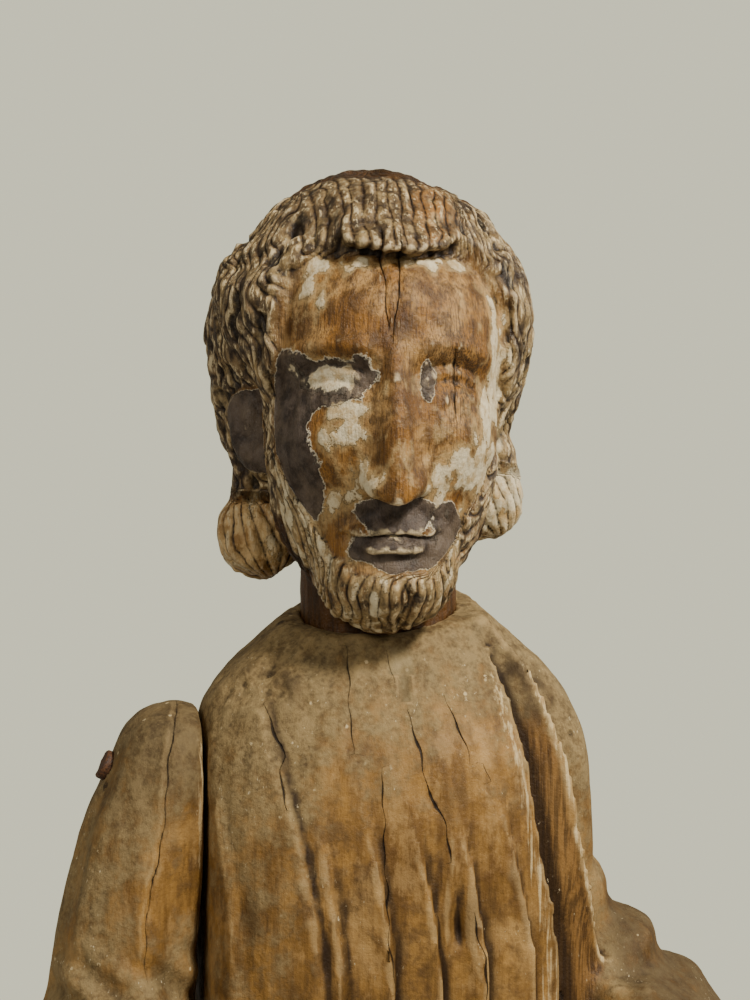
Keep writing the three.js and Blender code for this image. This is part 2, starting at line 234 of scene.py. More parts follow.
# ---- fields ---------------------------------------------------------------------------------


def ball_field(p, centre, radii):
    q = (p - np.asarray(centre, float)) / np.asarray(radii, float)
    far = np.linalg.norm(q, axis=1)
    slope = np.linalg.norm(q / np.asarray(radii, float), axis=1)
    return far * (far - 1) / np.maximum(slope, 1e-6)


def limb_field(p, start, end, start_radius, end_radius):
    a = np.asarray(start, float)
    run = np.asarray(end, float) - a
    t = np.clip((p - a) @ run / (run @ run), 0, 1)
    radius = start_radius + (end_radius - start_radius) * t
    return np.linalg.norm(p - a - t[:, None] * run, axis=1) - radius


def outline(angle, half_width, half_depth, boxiness=2.4):
    across = np.abs(np.sin(angle)) / half_width
    forward = np.abs(np.cos(angle)) / half_depth
    return (across**boxiness + forward**boxiness) ** (-1 / boxiness)


# ---- meshing --------------------------------------------------------------------------------
BLOCK = 6  # grid steps between the samples of the coarse first pass
BATCH = 300000  # points worked out at a time
OUTSIDE = 1e3  # the value far outside; inside it is negative
EDGES = [(a, a | bit) for bit in (1, 2, 4) for a in range(8) if not a & bit]


def spaced(stops, steps):
    """Grid coordinates from stop to stop, each stretch with its own step."""
    parts = [np.arange(a, b, s) for a, b, s in zip(stops[:-1], stops[1:], steps)]
    line = np.concatenate(parts)
    spare = (-(len(line) - 1)) % BLOCK
    return np.concatenate([line, line[-1] + steps[-1] * np.arange(1, spare + 1)])


def sample(field, xs, ys, zs):
    """The field on the whole grid, worked out finely only near the surface."""

    def values(points):
        parts = [field(points[i : i + BATCH]) for i in range(0, len(points), BATCH)]
        return np.concatenate(parts)

    grid = (len(xs), len(ys), len(zs))
    coarse_axes = [xs[::BLOCK], ys[::BLOCK], zs[::BLOCK]]
    nodes = np.stack(np.meshgrid(*coarse_axes, indexing="ij"), -1)
    coarse = values(nodes.reshape(-1, 3)).reshape(nodes.shape[:3])
    corners = [coarse[i : i - 1 or None, j : j - 1 or None, k : k - 1 or None]
               for i in (0, 1) for j in (0, 1) for k in (0, 1)]
    steps = [np.diff(axis) for axis in coarse_axes]
    diagonal = np.sqrt(
        steps[0][:, None, None] ** 2 + steps[1][None, :, None] ** 2 + steps[2][None, None, :] ** 2
    )
    near = np.min(np.abs(corners), axis=0) < 0.8 * diagonal
    full = np.full(grid, OUTSIDE, np.float32)
    blocks = [n - 1 for n in coarse.shape]
    sign = np.where(coarse[:-1, :-1, :-1] < 0, -OUTSIDE, OUTSIDE).astype(np.float32)
    spread_out = sign.repeat(BLOCK, 0).repeat(BLOCK, 1).repeat(BLOCK, 2)
    full[: blocks[0] * BLOCK, : blocks[1] * BLOCK, : blocks[2] * BLOCK] = spread_out
    wanted = np.zeros(grid, bool)
    wide = near.repeat(BLOCK, 0).repeat(BLOCK, 1).repeat(BLOCK, 2)
    for i in (0, 1):
        for j in (0, 1):
            for k in (0, 1):
                wanted[i : i + wide.shape[0], j : j + wide.shape[1], k : k + wide.shape[2]] |= wide
    where = np.nonzero(wanted)
    points = np.stack([xs[where[0]], ys[where[1]], zs[where[2]]], 1)
    full[where] = values(points)
    return full


def carve(field, xs, ys, zs):
    """Vertices and quads of the surface where the field is zero (surface nets)."""
    full = sample(field, xs, ys, zs)
    inside = full < 0
    shape = [n - 1 for n in full.shape]

    def corner(array, number):
        i, j, k = number & 1, number >> 1 & 1, number >> 2 & 1
        return array[i : i + shape[0], j : j + shape[1], k : k + shape[2]]

    count = sum(corner(inside, n).astype(np.uint8) for n in range(8))
    cells = np.argwhere((count > 0) & (count < 8))
    number = np.full(shape, -1, np.int64)
    number[tuple(cells.T)] = np.arange(len(cells))
    offsets = np.array([(n & 1, n >> 1 & 1, n >> 2 & 1) for n in range(8)])
    at = cells[:, None, :] + offsets[None]
    value = full[at[..., 0], at[..., 1], at[..., 2]]
    place = np.stack([xs[at[..., 0]], ys[at[..., 1]], zs[at[..., 2]]], -1)
    total = np.zeros((len(cells), 3))
    hits = np.zeros(len(cells))
    for a, b in EDGES:
        cross = (value[:, a] < 0) != (value[:, b] < 0)
        va, vb = value[cross, a], value[cross, b]
        t = (va / (va - vb))[:, None]
        total[cross] += place[cross, a] * (1 - t) + place[cross, b] * t
        hits[cross] += 1
    vertices = total / hits[:, None]
    quads = []
    for axis in range(3):
        u, v = (axis + 1) % 3, (axis + 2) % 3
        ahead = np.take(inside, np.arange(1, full.shape[axis]), axis)
        behind = np.take(inside, np.arange(full.shape[axis] - 1), axis)
        edge = np.argwhere(ahead != behind)
        edge = edge[(edge[:, u] > 0) & (edge[:, v] > 0)]
        edge = edge[(edge[:, u] < shape[u]) & (edge[:, v] < shape[v])]
        du, dv = np.eye(3, dtype=int)[u], np.eye(3, dtype=int)[v]
        around = [edge, edge - du, edge - du - dv, edge - dv]
        quad = np.stack([number[tuple(c.T)] for c in around], 1)
        outwards = inside[tuple(edge.T)]
        quad[~outwards] = quad[~outwards][:, ::-1]
        quads.append(quad)
    return vertices, np.concatenate(quads)


class Skin:
    """A quad mesh in millimetres that is engraved and then handed to Blender."""

    def __init__(self, vertices, quads):
        self.points = vertices
        self.quads = quads
        sides = np.concatenate([quads[:, [0, 1]], quads[:, [1, 2]], quads[:, [2, 3]], quads[:, [3, 0]]])
        sides.sort(axis=1)
        self.sides = np.unique(sides, axis=0)
        self.degree = np.bincount(self.sides.ravel(), minlength=len(vertices))[:, None]
        self.layers = {}

    def neighbours(self, values):
        a, b = self.sides.T
        total = np.zeros_like(values)
        for column in range(values.shape[1]):
            total[:, column] = np.bincount(a, values[b, column], len(values))
            total[:, column] += np.bincount(b, values[a, column], len(values))
        return total / self.degree

    def normals(self):
        p = self.points
        q = self.quads
        across = np.cross(p[q[:, 2]] - p[q[:, 0]], p[q[:, 3]] - p[q[:, 1]])
        total = np.zeros_like(p)
        for column in range(3):
            for corner in range(4):
                total[:, column] += np.bincount(q[:, corner], across[:, column], len(p))
        return total / np.maximum(np.linalg.norm(total, axis=1), 1e-9)[:, None]

    def engrave(self, height):
        self.points = self.points + self.normals() * height[:, None]

    def hollowness(self, rounds, depth):
        """From 1 in a hollow to -1 on an edge; more rounds look at wider shapes."""
        smooth = self.points
        for _ in range(rounds):
            smooth = 0.5 * smooth + 0.5 * self.neighbours(smooth)
        lift = np.sum((smooth - self.points) * self.normals(), axis=1) / depth
        return np.clip(lift, -1, 1)

    def build(self, name, node, material):
        mesh = bpy.data.meshes.new(name)
        mesh.vertices.add(len(self.points))
        mesh.vertices.foreach_set("co", (self.points * MM).astype(np.float32).ravel())
        mesh.loops.add(self.quads.size)
        mesh.loops.foreach_set("vertex_index", self.quads.astype(np.int32).ravel())
        mesh.polygons.add(len(self.quads))
        starts = np.arange(0, self.quads.size, 4, dtype=np.int32)
        mesh.polygons.foreach_set("loop_start", starts)
        mesh.polygons.foreach_set("use_smooth", np.ones(len(self.quads), bool))
        mesh.update(calc_edges=True)
        mesh.validate()
        for label, values in self.layers.items():
            layer = mesh.attributes.new(label, "FLOAT", "POINT")
            layer.data.foreach_set("value", values.astype(np.float32))
        mesh.materials.append(material)
        thing = bpy.data.objects.new(name, mesh)
        bpy.context.scene.collection.objects.link(thing)
        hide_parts(node)
        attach(thing, "root")


# ---- robe and mantle ------------------------------------------------------------------------
ROBE_STATIONS = [
    (FLOOR_OF_ROBE, 128, 101, 6),
    (180, 118, 93, 6),
    (360, 109, 85, 5),
    (540, 101, 78, 4),
    (680, 95, 72, 3),
    (790, 91, 68, 2),
    (838, 89, 63, 2),
    (864, 82, 57, 3),
    (882, 70, 51, 4),
    (896, 54, 45, 5),
    (908, 40, 39.5, 6),
]
ROBE_WIDTH = curve_through(ROBE_STATIONS, 1)
ROBE_DEPTH = curve_through(ROBE_STATIONS, 2)
ROBE_MIDDLE = curve_through(ROBE_STATIONS, 3)
MANTLE_EDGES = [
    (60, -28, 42),
    (400, -25, 46),
    (750, -31, 52),
    (800, -37, 47),
    (840, -46, 44),
    (870, -56, 43),
    (908, -76, 46),
]
MANTLE_RIGHT = curve_through(MANTLE_EDGES, 1)
MANTLE_LEFT = curve_through(MANTLE_EDGES, 2)
STRIP_RIGHT = -31.0
STRIP_LEFT = 52.0
# The bright ridge beyond the left edge's valley, as a place on the strip at each height.
LEFT_RIDGE = curve_through([(60, 70), (600, 78), (731, 73), (777, 67), (803, 64), (860, 62), (908, 60)], 1)


def unwrapped(angle, z):
    """The place on the flat strip of folds, on which both mantle edges run straight up."""
    right = MANTLE_RIGHT(z)
    left = MANTLE_LEFT(z)
    before = -180 + (angle + 180) * (STRIP_RIGHT + 180) / (right + 180)
    between = STRIP_RIGHT + (angle - right) * (STRIP_LEFT - STRIP_RIGHT) / (left - right)
    after = 180 - (180 - angle) * (180 - STRIP_LEFT) / (180 - left)
    return np.where(angle < right, before, np.where(angle > left, after, between))


# The robe's pleats (flutes) and the mantle's folds (drapes), in degrees along the strip.
PLEAT_FALL = 0.16
PLEAT_CURVE = 1.7
FLUTE_PLACE = 7.2
FLUTE_SPACING = 16.6
DRAPE_PLACE = 70.0
DRAPE_SPACING = 18.0


def fold(phase):
    """A pleat: a ridge at each whole phase, a sharp fall after it, then a slow climb."""
    t = phase - np.floor(phase)
    climb = np.clip((t - PLEAT_FALL) / (1 - PLEAT_FALL), 0, 1) ** PLEAT_CURVE
    return 0.5 - fade(t, 0, PLEAT_FALL) + climb


def flute_phase(strip):
    return (strip - FLUTE_PLACE) / FLUTE_SPACING


def left_edge(strip, z):
    """The pleat beyond the mantle's left edge: a deep fall, a climb to a ridge and a fall."""
    ridge = LEFT_RIDGE(z)
    t = np.clip((strip - STRIP_LEFT) / (ridge - STRIP_LEFT), 0, 1)
    climb = -13 + 15 * t**1.5
    past = strip - ridge
    beyond = 2 - 9 * fade(past, 0, 3) + 7 * fade(past, 4, 15)
    height = np.where(past < 0, climb, beyond)
    return height * fade(strip - STRIP_LEFT, 0, 2) * fall(z, 880, 908)


def fold_height(strip, z):
    flute_depth = 6.5 + 6 * fall(z, 100, 760)
    drape_depth = 4 + 9 * fall(z, 200, 800)
    flute = flute_depth * fall(z, 745, 850)
    drape = drape_depth * fall(z, 790, 880)
    inner = flute * fold(flute_phase(strip))
    away = fade(strip, 80, 90) + fade(-strip, 45, 60)
    outer = away * drape * fold((strip - DRAPE_PLACE) / DRAPE_SPACING) + 2.8 + 2.2 * fade(strip, 0, 20)
    outer += 0.6 * bell(strip, STRIP_RIGHT - 2.5, 3) * fall(z, 860, 890)
    inner -= 0.4 * bell(strip, STRIP_RIGHT + 1.5, 1.4)
    hem = 150 + 45 * np.cos(np.radians(strip)) ** 2
    beside = fade(STRIP_RIGHT - strip, -0.9, 0.4) + fade(strip - STRIP_LEFT, 0, 2)
    covered = beside * fade(z, hem - 3, hem + 3)
    return (1 - covered) * inner + covered * (outer + left_edge(strip, z))


def fold_lines(strip, z):
    """How near a point is to a worn ridge, and to the foot of a ridge where shade is painted, 0 to 1."""
    phase = flute_phase(strip)
    t = phase - np.floor(phase)
    pleated = fall(z, 760, 835) * fade(strip, STRIP_RIGHT, STRIP_RIGHT + 3) * fall(strip, 44, 52)
    upper = fall(z, 872, 900)
    ridge = LEFT_RIDGE(z)
    past = strip - STRIP_LEFT
    low_down = fall(z, 700, 790)
    rubbed_pleats = pleated * low_down * bell(np.minimum(t, 1 - t), 0, 0.05) * 0.5
    crest = np.maximum(rubbed_pleats, 0.8 * upper * bell(strip, ridge, 1.2))
    crest = np.maximum(crest, 0.22 * bell(strip, STRIP_RIGHT - 1.4, 1.3) * fall(z, 862, 880))
    crest = np.maximum(crest, 0.6 * upper * bell(past, -2.6, 2.8))
    # Painted shade: the foot of each pleat's fall, the fall after the left ridge, the step at the mantle's
    # right edge and the deep valley beyond its left edge; the lower pleats are darker all over.
    darker_pleats = pleated * (0.48 * low_down + 0.52 * bell(t, 0.13, 0.07))
    foot = np.maximum(darker_pleats, upper * bell(strip, ridge + 3.2, 2.8))
    foot = np.maximum(foot, 0.65 * bell(strip, STRIP_RIGHT + 1.0, 1.1) * fall(z, 868, 882))
    inward = past / (ridge - STRIP_LEFT)
    foot = np.maximum(foot, upper * fade(past, 0.2, 0.9) * fall(inward, 0.32, 0.75))
    floor = fall(z, 840, 872) * fade(past, 1, 3) * fall(strip, ridge - 3, ridge)
    return crest, foot, floor


def robe_field(p):
    z = p[:, 2]
    forward = p[:, 1] - ROBE_MIDDLE(z)
    angle = np.arctan2(p[:, 0], -forward)
    radius = outline(angle, ROBE_WIDTH(z), ROBE_DEPTH(z))
    radius += fold_height(unwrapped(np.degrees(angle), z), z)
    side = np.hypot(p[:, 0], forward) - radius
    neckline = ROBE_STATIONS[-1][0] - 9 * np.cos(angle) + 4 * np.sin(angle)
    return larger(0.85 * side, z - neckline, 4)


CLOTH_STATIONS = [
    (448, 16, 40, 113, -24),
    (470, 24, 50, 115, -22),
    (560, 30, 58, 117, -20),
    (660, 33, 60, 118, -18),
    (712, 30, 56, 115, -16),
    (738, 16, 38, 106, -12),
]
SLEEVE_STATIONS = [
    (672, 12, 14, -125, 6),
    (680, 25, 28, -125, 4),
    (700, 33, 38, -122.5, 2),
    (727, 33.5, 41, -121.5, 2),
    (760, 32.5, 41, -118, 2),
    (787, 31, 40, -114, 2),
    (815, 29, 38, -108, 2),
    (838, 26, 35, -101, 3),
    (856, 21, 27, -98, 3),
    (864, 13, 17, -97, 3),
    (867, 5, 7, -97, 3),
]


def cloth_field(stations, fold_count, fold_depth):
    width, depth, middle_x, middle_y = (curve_through(stations, c) for c in (1, 2, 3, 4))
    low, high = stations[0][0], stations[-1][0]

    def field(p):
        z = p[:, 2]
        x = p[:, 0] - middle_x(z)
        y = p[:, 1] - middle_y(z)
        angle = np.arctan2(x, -y)
        radius = outline(angle, width(z), depth(z), 2.2)
        body = fade(z, low, low + 40) * fall(z, high - 40, high)
        radius += fold_depth * np.cos(fold_count * angle) * body
        side = 0.8 * (np.hypot(x, y) - radius)
        return larger(side, np.maximum(low - z, z - high), 4)

    return field


hanging_cloth = cloth_field(CLOTH_STATIONS, 7, 4)
sleeve_cloth = cloth_field(SLEEVE_STATIONS, 9, 0.8)


def hand_field(p, wrist, tip, knuckles):
    start = np.asarray(wrist, float)
    ahead = np.asarray(tip, float) - start
    ahead /= np.linalg.norm(ahead)
    side = np.asarray(knuckles, float)
    side /= np.linalg.norm(side)
    palm = np.cross(ahead, side)

    def at(forward, sideways, down):
        return start + ahead * forward + side * sideways + palm * down

    whole = limb_field(p, at(-14, 0, 0), at(16, 0, 0), 15, 14)
    for number, length in enumerate((24, 29, 27, 20)):
        sideways = (number - 1.5) * 8.6
        palm_part = limb_field(p, at(10, sideways, 0), at(36, sideways, 1), 8, 6.6)
        finger = limb_field(p, at(37, sideways, 1), at(33 + length, sideways, 7), 5.6, 4.2)
        whole = smaller(whole, palm_part, 5)
        whole = smaller(whole, finger, 1.5)
    thumb = limb_field(p, at(8, -14, 4), at(36, -22, 11), 8, 5)
    return smaller(whole, thumb, 3)


LEFT_SHOULDER, LEFT_ELBOW, LEFT_WRIST = (80, 6, 768), (129, 2, 698), (108, -104, 704)
LEFT_TIP = (100, -128, 706)
RIGHT_ELBOW, RIGHT_WRIST, RIGHT_TIP = (-129, 0, 704), (-116, -100, 720), (-113, -124, 728)


def rings(p, start, end, count, depth):
    """Rings of folds along a limb, as a height to add to its radius."""
    a = np.asarray(start, float)
    run = np.asarray(end, float) - a
    t = (p - a) @ run / (run @ run)
    return depth * np.cos(2 * np.pi * count * t)


def body_field(p):
    x, y, z = p.T
    whole = robe_field(p)
    upper = limb_field(p, LEFT_SHOULDER, LEFT_ELBOW, 27, 38)
    upper -= rings(p, LEFT_SHOULDER, LEFT_ELBOW, 2.5, 3.5)
    lower = limb_field(p, LEFT_ELBOW, LEFT_WRIST, 37, 27)
    lower -= rings(p, LEFT_ELBOW, LEFT_WRIST, 1.5, 2.5)
    cuff = (p - np.array(LEFT_WRIST)) @ np.array([0.22, 0.97, -0.04])
    lower = larger(lower, -cuff, 3)
    arm = smaller(upper, lower, 12)
    arm = smaller(arm, hanging_cloth(p), 14)
    whole = smaller(whole, arm, 10)
    whole = np.minimum(whole, hand_field(p, LEFT_WRIST, LEFT_TIP, (0.25, 0, 1)))
    for side in (-1, 1):
        toe = ball_field(p, (side * 40, -90, 68), (25, 36, 19))
        whole = smaller(whole, toe, 3)
    from_neck = np.hypot(x - NECK_CENTRE[0], y - NECK_CENTRE[1])
    socket = np.maximum(from_neck - NECK_RADIUS + GLUE_GAP, NECK_FOOT - GLUE_GAP - z)
    whole = larger(whole, -socket, 1)
    leaning = (SEAM_X - x - SEAM_LEAN * (SEAM_FOOT - z)) * SEAM_SCALE
    seam = np.where(z > SEAM_FOOT, SEAM_X - x, leaning)
    whole = larger(whole, seam, 3)
    return larger(whole, FLOOR_OF_ROBE - z, 1)


PEG_RADIUS = 7.0
PEG_LENGTH = 21.6
PEG_GAP = 0.4
HOLE_DEPTH = 22.4
PEG_END = (-130.0, 2.0, 840.0)
PEG_RISE = math.radians(25)
PEG_OUT = np.array([-math.cos(PEG_RISE), 0, math.sin(PEG_RISE)])


def right_arm_field(p):
    whole = sleeve_cloth(p)
    lower = limb_field(p, RIGHT_ELBOW, RIGHT_WRIST, 33, 29)
    lower -= rings(p, RIGHT_ELBOW, RIGHT_WRIST, 1.5, 2)
    cuff = (p - np.array(RIGHT_WRIST)) @ np.array([-0.12, 0.98, -0.16])
    whole = smaller(whole, larger(lower, -cuff, 3), 12)
    whole = np.minimum(whole, hand_field(p, RIGHT_WRIST, RIGHT_TIP, (-0.2, 0, 1)))
    flat_joint = np.minimum(p[:, 0] - SEAM_X + JOINT_GAP, p[:, 1] - JOINT_FRONT)
    whole = larger(whole, flat_joint, 3)
    q = p - np.array(PEG_END)
    along = q @ PEG_OUT
    hole = np.linalg.norm(q - along[:, None] * PEG_OUT, axis=1) - PEG_RADIUS - PEG_GAP
    return larger(whole, -np.maximum(hole, -HOLE_DEPTH - along), 0.6)


# ---- head -----------------------------------------------------------------------------------
# Each mass is a centre and three radii about the head's centre.
CROWN = ((-2, 11, 27), (75.5, 82, 75))
NAPE = ((-2, 24, -12), (67, 60, 50))
FOREHEAD = ((0, -12, 26), (56, 66, 52))
FACE = ((0, -18, -10), (52, 62, 84))
BEARD = ((0, -40, -72), (30, 34, 34))
JAW = ((0, -25, -46), (41, 43, 36))
HAIRLINE_MIDDLE = 3.0
HAIRLINE_HALF = 50.0
HAIRLINE_TOP = 60.0
HAIRLINE_TURN = 56.5
HAIRLINE_POWER = 3.4
EAR_CENTRE = np.array([-54.0, -12.0, -11.0])
EAR_RADII = np.array([6.0, 16.0, 24.0])
EAR_FLARE = 48.0
CURLS = [((-52, 19, -64), (19, 19, 20)), ((55, 16, -49), (16, 17, 17))]


def head_frame(p):
    """Points in the head's own frame: its centre on the eye line, its face along -Y."""
    c, s = math.cos(math.radians(HEAD_TURN)), math.sin(math.radians(HEAD_TURN))
    q = p - HEAD_CENTRE
    return np.stack([c * q[:, 0] - s * q[:, 1], s * q[:, 0] + c * q[:, 1], q[:, 2]], 1)


def reach(ball, d):
    """How far an ellipsoid that holds the origin reaches along each direction."""
    centre, radii = np.asarray(ball[0], float), np.asarray(ball[1], float)
    d = d / radii
    c = centre / radii
    a = np.sum(d * d, axis=1)
    b = d @ c
    return (b + np.sqrt(np.maximum(0, b * b + a * (1 - c @ c)))) / a


def eye_relief(side, z):
    """An almond eye with an upper and a lower lid, as height over the socket."""
    middle, half = 26.0, 14.0
    e = np.clip(1 - ((side - middle) / half) ** 2, 0, 1)
    upper = 1.0 + 4.6 * e
    lower = 0.0 - 4.0 * e
    within = fade(e, 0.0, 0.3)
    ball = 7.0 * spot(side, z, middle, 0.6, 11.5, 7.5)
    lids = 1.2 * within * (bell(z, upper + 1.4, 2.6) + 0.5 * bell(z, lower - 1.4, 2.6))
    opening = -0.9 * within * (bell(z, upper - 2.4, 1.7) + 0.4 * bell(z, lower + 2.0, 1.7))
    crease = -1.6 * within * bell(z, upper + 5.4, 1.8)
    return ball + lids + opening + crease


def face_relief(x, z):
    """The calm, plain face: x across from its middle, z up from the eye line."""
    side = np.abs(x)
    down = np.clip((14 - z) / 54, 0, 1)
    brow_line = 17 - 0.010 * (side - 24) ** 2
    brow = 3.4 * bell(z, brow_line, 5.0) * fade(side, 4, 14) * fall(side, 38, 50)
    socket = -8.5 * spot(side, z, 25, 2.5, 16, 9.5)
    bridge = (5 + 13 * down**1.15) * bell(x, 0, 5.5 + 4.0 * down)
    nose = bridge * fade(z, -46.5, -41) * fall(z, 8, 26)
    wings = 5.5 * spot(side, z, 9.5, -37, 4.2, 5.0)
    nostrils = -3.5 * spot(side, z, 5.2, -44.0, 2.4, 1.8)
    cheek = 3.0 * spot(side, z, 34, -22, 14, 12) - 2.5 * spot(side, z, 28, -50, 9, 10)
    parting = -62 - 0.006 * side**2
    above = 3.6 * bell(z, parting + 3.6 - 0.8 * bell(x, 0, 2.5), 2.7)
    below = 4.4 * bell(z, parting - 4.0, 3.2) * fall(side, 8, 15)
    lips = (above + below - 2.4 * bell(z, parting, 1.3)) * fall(side, 12, 20)
    corner = -2.0 * spot(side, z, 20, -63, 3, 3)
    philtrum = -1.2 * spot(x, z, 0, -52, 2.2, 4)
    moustache = 2.0 * bell(z, -53.5 - 0.28 * side, 2.6) * fade(side, 2, 6) * fall(side, 20, 28)
    under_lip = -3.4 * spot(x, z, 0, -72, 14, 3.4)
    chin = 2.0 * spot(x, z, 0, -84, 16, 9)
    return (brow + socket + eye_relief(side, z) + nose + wings + nostrils + cheek + lips
            + corner + philtrum + moustache + under_lip + chin)


class HeadPlaces:
    """Where points lie on the head: direction, turn, place on the face, hair and beard."""

    def __init__(self, q):
        self.q = q
        self.far = np.linalg.norm(q, axis=1)
        self.d = q / np.maximum(self.far, 1e-6)[:, None]
        self.turn = np.degrees(np.arctan2(self.d[:, 0], -self.d[:, 1]))
        skull = larger(reach(FACE, self.d), reach(FOREHEAD, self.d), 8)
        self.skull = larger(larger(skull, reach(JAW, self.d), 12), reach(BEARD, self.d), 12)
        self.x = self.skull * self.d[:, 0]
        self.z = self.skull * self.d[:, 2]
        # The hairline: a broad arch over the forehead that drops in front of the ears.
        high = np.maximum(self.z, 0) / HAIRLINE_TOP
        wide = np.abs(self.x - HAIRLINE_MIDDLE) / HAIRLINE_HALF
        arch = (wide**HAIRLINE_POWER + high**HAIRLINE_POWER) ** (1 / HAIRLINE_POWER) - 1
        arch = arch * HAIRLINE_HALF
        self.beyond = larger(arch, np.abs(self.turn - HAIRLINE_MIDDLE) - HAIRLINE_TURN, 8)
        self.beyond = self.beyond + 1.2 * noise(q, (9, 9, 9), 201)
        self.hairy = fade(self.beyond, -1.2, 1.6)
        # The beard: a band along the jaw that widens over the chin.
        side = np.abs(self.x)
        edge = np.interp(side, [0, 8, 15, 24, 33, 42, 48], [-77, -78, -79, -70, -57, -40, -24])
        edge += 1.5 * noise(q, (5, 9, 9), 203)
        self.beard_edge = self.z - edge
        self.bearded = fall(self.beard_edge, -1.5, 1.5) * (1 - self.hairy)


def curl_weight(q):
    weight = np.zeros(len(q))
    for centre, radii in CURLS:
        weight = np.maximum(weight, 1 - fade(ball_field(q, centre, radii), 0.5, 9))
    return weight


def ear_field(q):
    """The ear on the figure's right: a thin plate turned forward, hollowed in front."""
    turn = math.radians(EAR_FLARE)
    out = np.array([-math.cos(turn), -math.sin(turn), 0])
    across = np.array([-math.sin(turn), math.cos(turn), 0])
    r = q - EAR_CENTRE
    e = np.stack([r @ out, r @ across, r[:, 2]], 1) / EAR_RADII
    whole = (np.linalg.norm(e, axis=1) - 1) * 8
    bowl = (e - np.array([1.1, 0.0, 0.08])) / np.array([0.85, 0.72, 0.74])
    lobe = larger(whole, (1 - np.linalg.norm(bowl, axis=1)) * 6, 2)
    ridge = (e - np.array([0.25, 0.25, 0.1])) / np.array([0.55, 0.28, 0.45])
    return smaller(lobe, (np.linalg.norm(ridge, axis=1) - 1) * 5, 2)


def hair_reach(d, skull):
    return np.maximum(larger(reach(CROWN, d), reach(NAPE, d), 14), skull + 3.5)


def head_field(p):
    q = head_frame(p)
    at = HeadPlaces(q)
    recess = 16 * spot(at.turn, at.z, -71, EAR_CENTRE[2] + 3, 14, 25)
    recess += 5 * spot(at.turn, at.z, 78, -14, 22, 20)
    band = 2.5 * fall(at.beyond, 26, 40) * fade(at.z, 20, 40)
    locks = 1.8 * rough(q, (11, 11, 19), 211)
    dent = 4 * spot(q[:, 0], q[:, 2], -54, 72, 20, 22)
    hair = hair_reach(at.d, at.skull) - recess - dent + band + locks
    face = at.skull + (1 - at.hairy) * face_relief(at.x, at.z)
    face += 2.6 * fade(-at.beard_edge, -1, 3) * fade(at.z, -101, -94) * (1 - at.hairy)
    radius = mix(face, np.maximum(face, hair), at.hairy)
    whole = 0.85 * (at.far - radius)
    x, y, z = q.T
    # The tuft hangs over the forehead, lowest in its middle.
    lower_edge = 57 + 7 * ((x - 4) / 27) ** 2 + 0.6 * np.sin(x / 2.1) - z
    tuft = larger(0.85 * (at.far - hair_reach(at.d, at.skull) - 6.5), lower_edge, 3)
    tuft = larger(tuft, np.abs(x - 4) - 30 + 2 * noise(q, (6, 6, 10), 213), 8)
    tuft = larger(tuft, (y + 26) * 0.8, 18)
    whole = smaller(whole, tuft, 2)
    whole = smaller(whole, ear_field(q), 2.5)
    for centre, radii in CURLS:
        stem = limb_field(q, (centre[0] * 1.06, 14, -26), centre, 9, 12)
        curl = smaller(ball_field(q, centre, radii), stem, 10)
        # Flat cuts of the knife leave the underside angular.
        for lean in (-0.7, 0.0, 0.75):
            cut = np.array([lean, -0.2, -1.0])
            cut /= np.linalg.norm(cut)
            curl = larger(curl, (q - np.array(centre)) @ cut - radii[2] * 0.93, 1.5)
        whole = smaller(whole, curl, 5)
    nx, ny = p[:, 0] - NECK_CENTRE[0], p[:, 1] - NECK_CENTRE[1]
    neck = larger(np.hypot(nx, ny) - NECK_RADIUS, p[:, 2] - HEAD_CENTRE[2] + 30, 4)
    whole = smaller(whole, neck, 6)
    return larger(whole, NECK_FOOT - p[:, 2], 0.6)


# Strands: how many go round the head and round a curl, and how wide the others are.
SIDE_STRANDS = 70
CURL_STRANDS = 17
TUFT_STRAND = 5.3
CHIN_STRAND = 4.3
JAW_STRAND = 5.0
# Where paint and gesso are left on the face: x, z, widths, and how much.
PAINT_PLACES = [
    (-42, -8, 9, 28, 2.7),
    (-24, 3, 17, 10, 2.9),
    (-36, -44, 8, 16, 2.1),
    (2, -68, 25, 10, 2.8),
    (4, -51, 20, 6, 2.3),
    (15, 3, 5, 9, 1.9),
    (27, -60, 7, 8, 1.9),
]
GESSO_PLACES = [
    (-20, -20, 14, 5, 1.3),
    (-11, -36, 6, 10, 1.2),
    (-24, -50, 9, 7, 0.8),
    (26, -32, 9, 9, 0.9),
    (18, -44, 8, 7, 1.1),
    (-34, 44, 12, 12, 0.5),
    (-28, 4, 11, 7, 2.0),
    (-10, 8, 4, 8, 0.9),
    (-20, -10, 12, 4, 1.5),
    (0, 54, 42, 4, 0.9),
    (-30, 46, 16, 9, 0.4),
    (46, 20, 4, 34, 0.65),
    (50, 0, 5, 20, 0.5),
    (36, -38, 11, 15, 1.0),
    (42, -8, 6, 20, 0.65),
    (8, -63, 9, 4, 0.9),
    (14, 2, 5, 9, 0.7),
]


def strand_height(phase):
    """Rounded strands with narrow grooves at whole numbers of the phase, from -0.6 to 0.4."""
    return np.abs(np.sin(np.pi * phase)) ** 0.6 - 0.6


def painted(start, at, places):
    """A guide raised at each place; the material cuts it at zero."""
    guide = start
    for x, z, width, height, much in places:
        guide = guide + much * spot(at.x, at.z, x, z, width, height)
    return guide


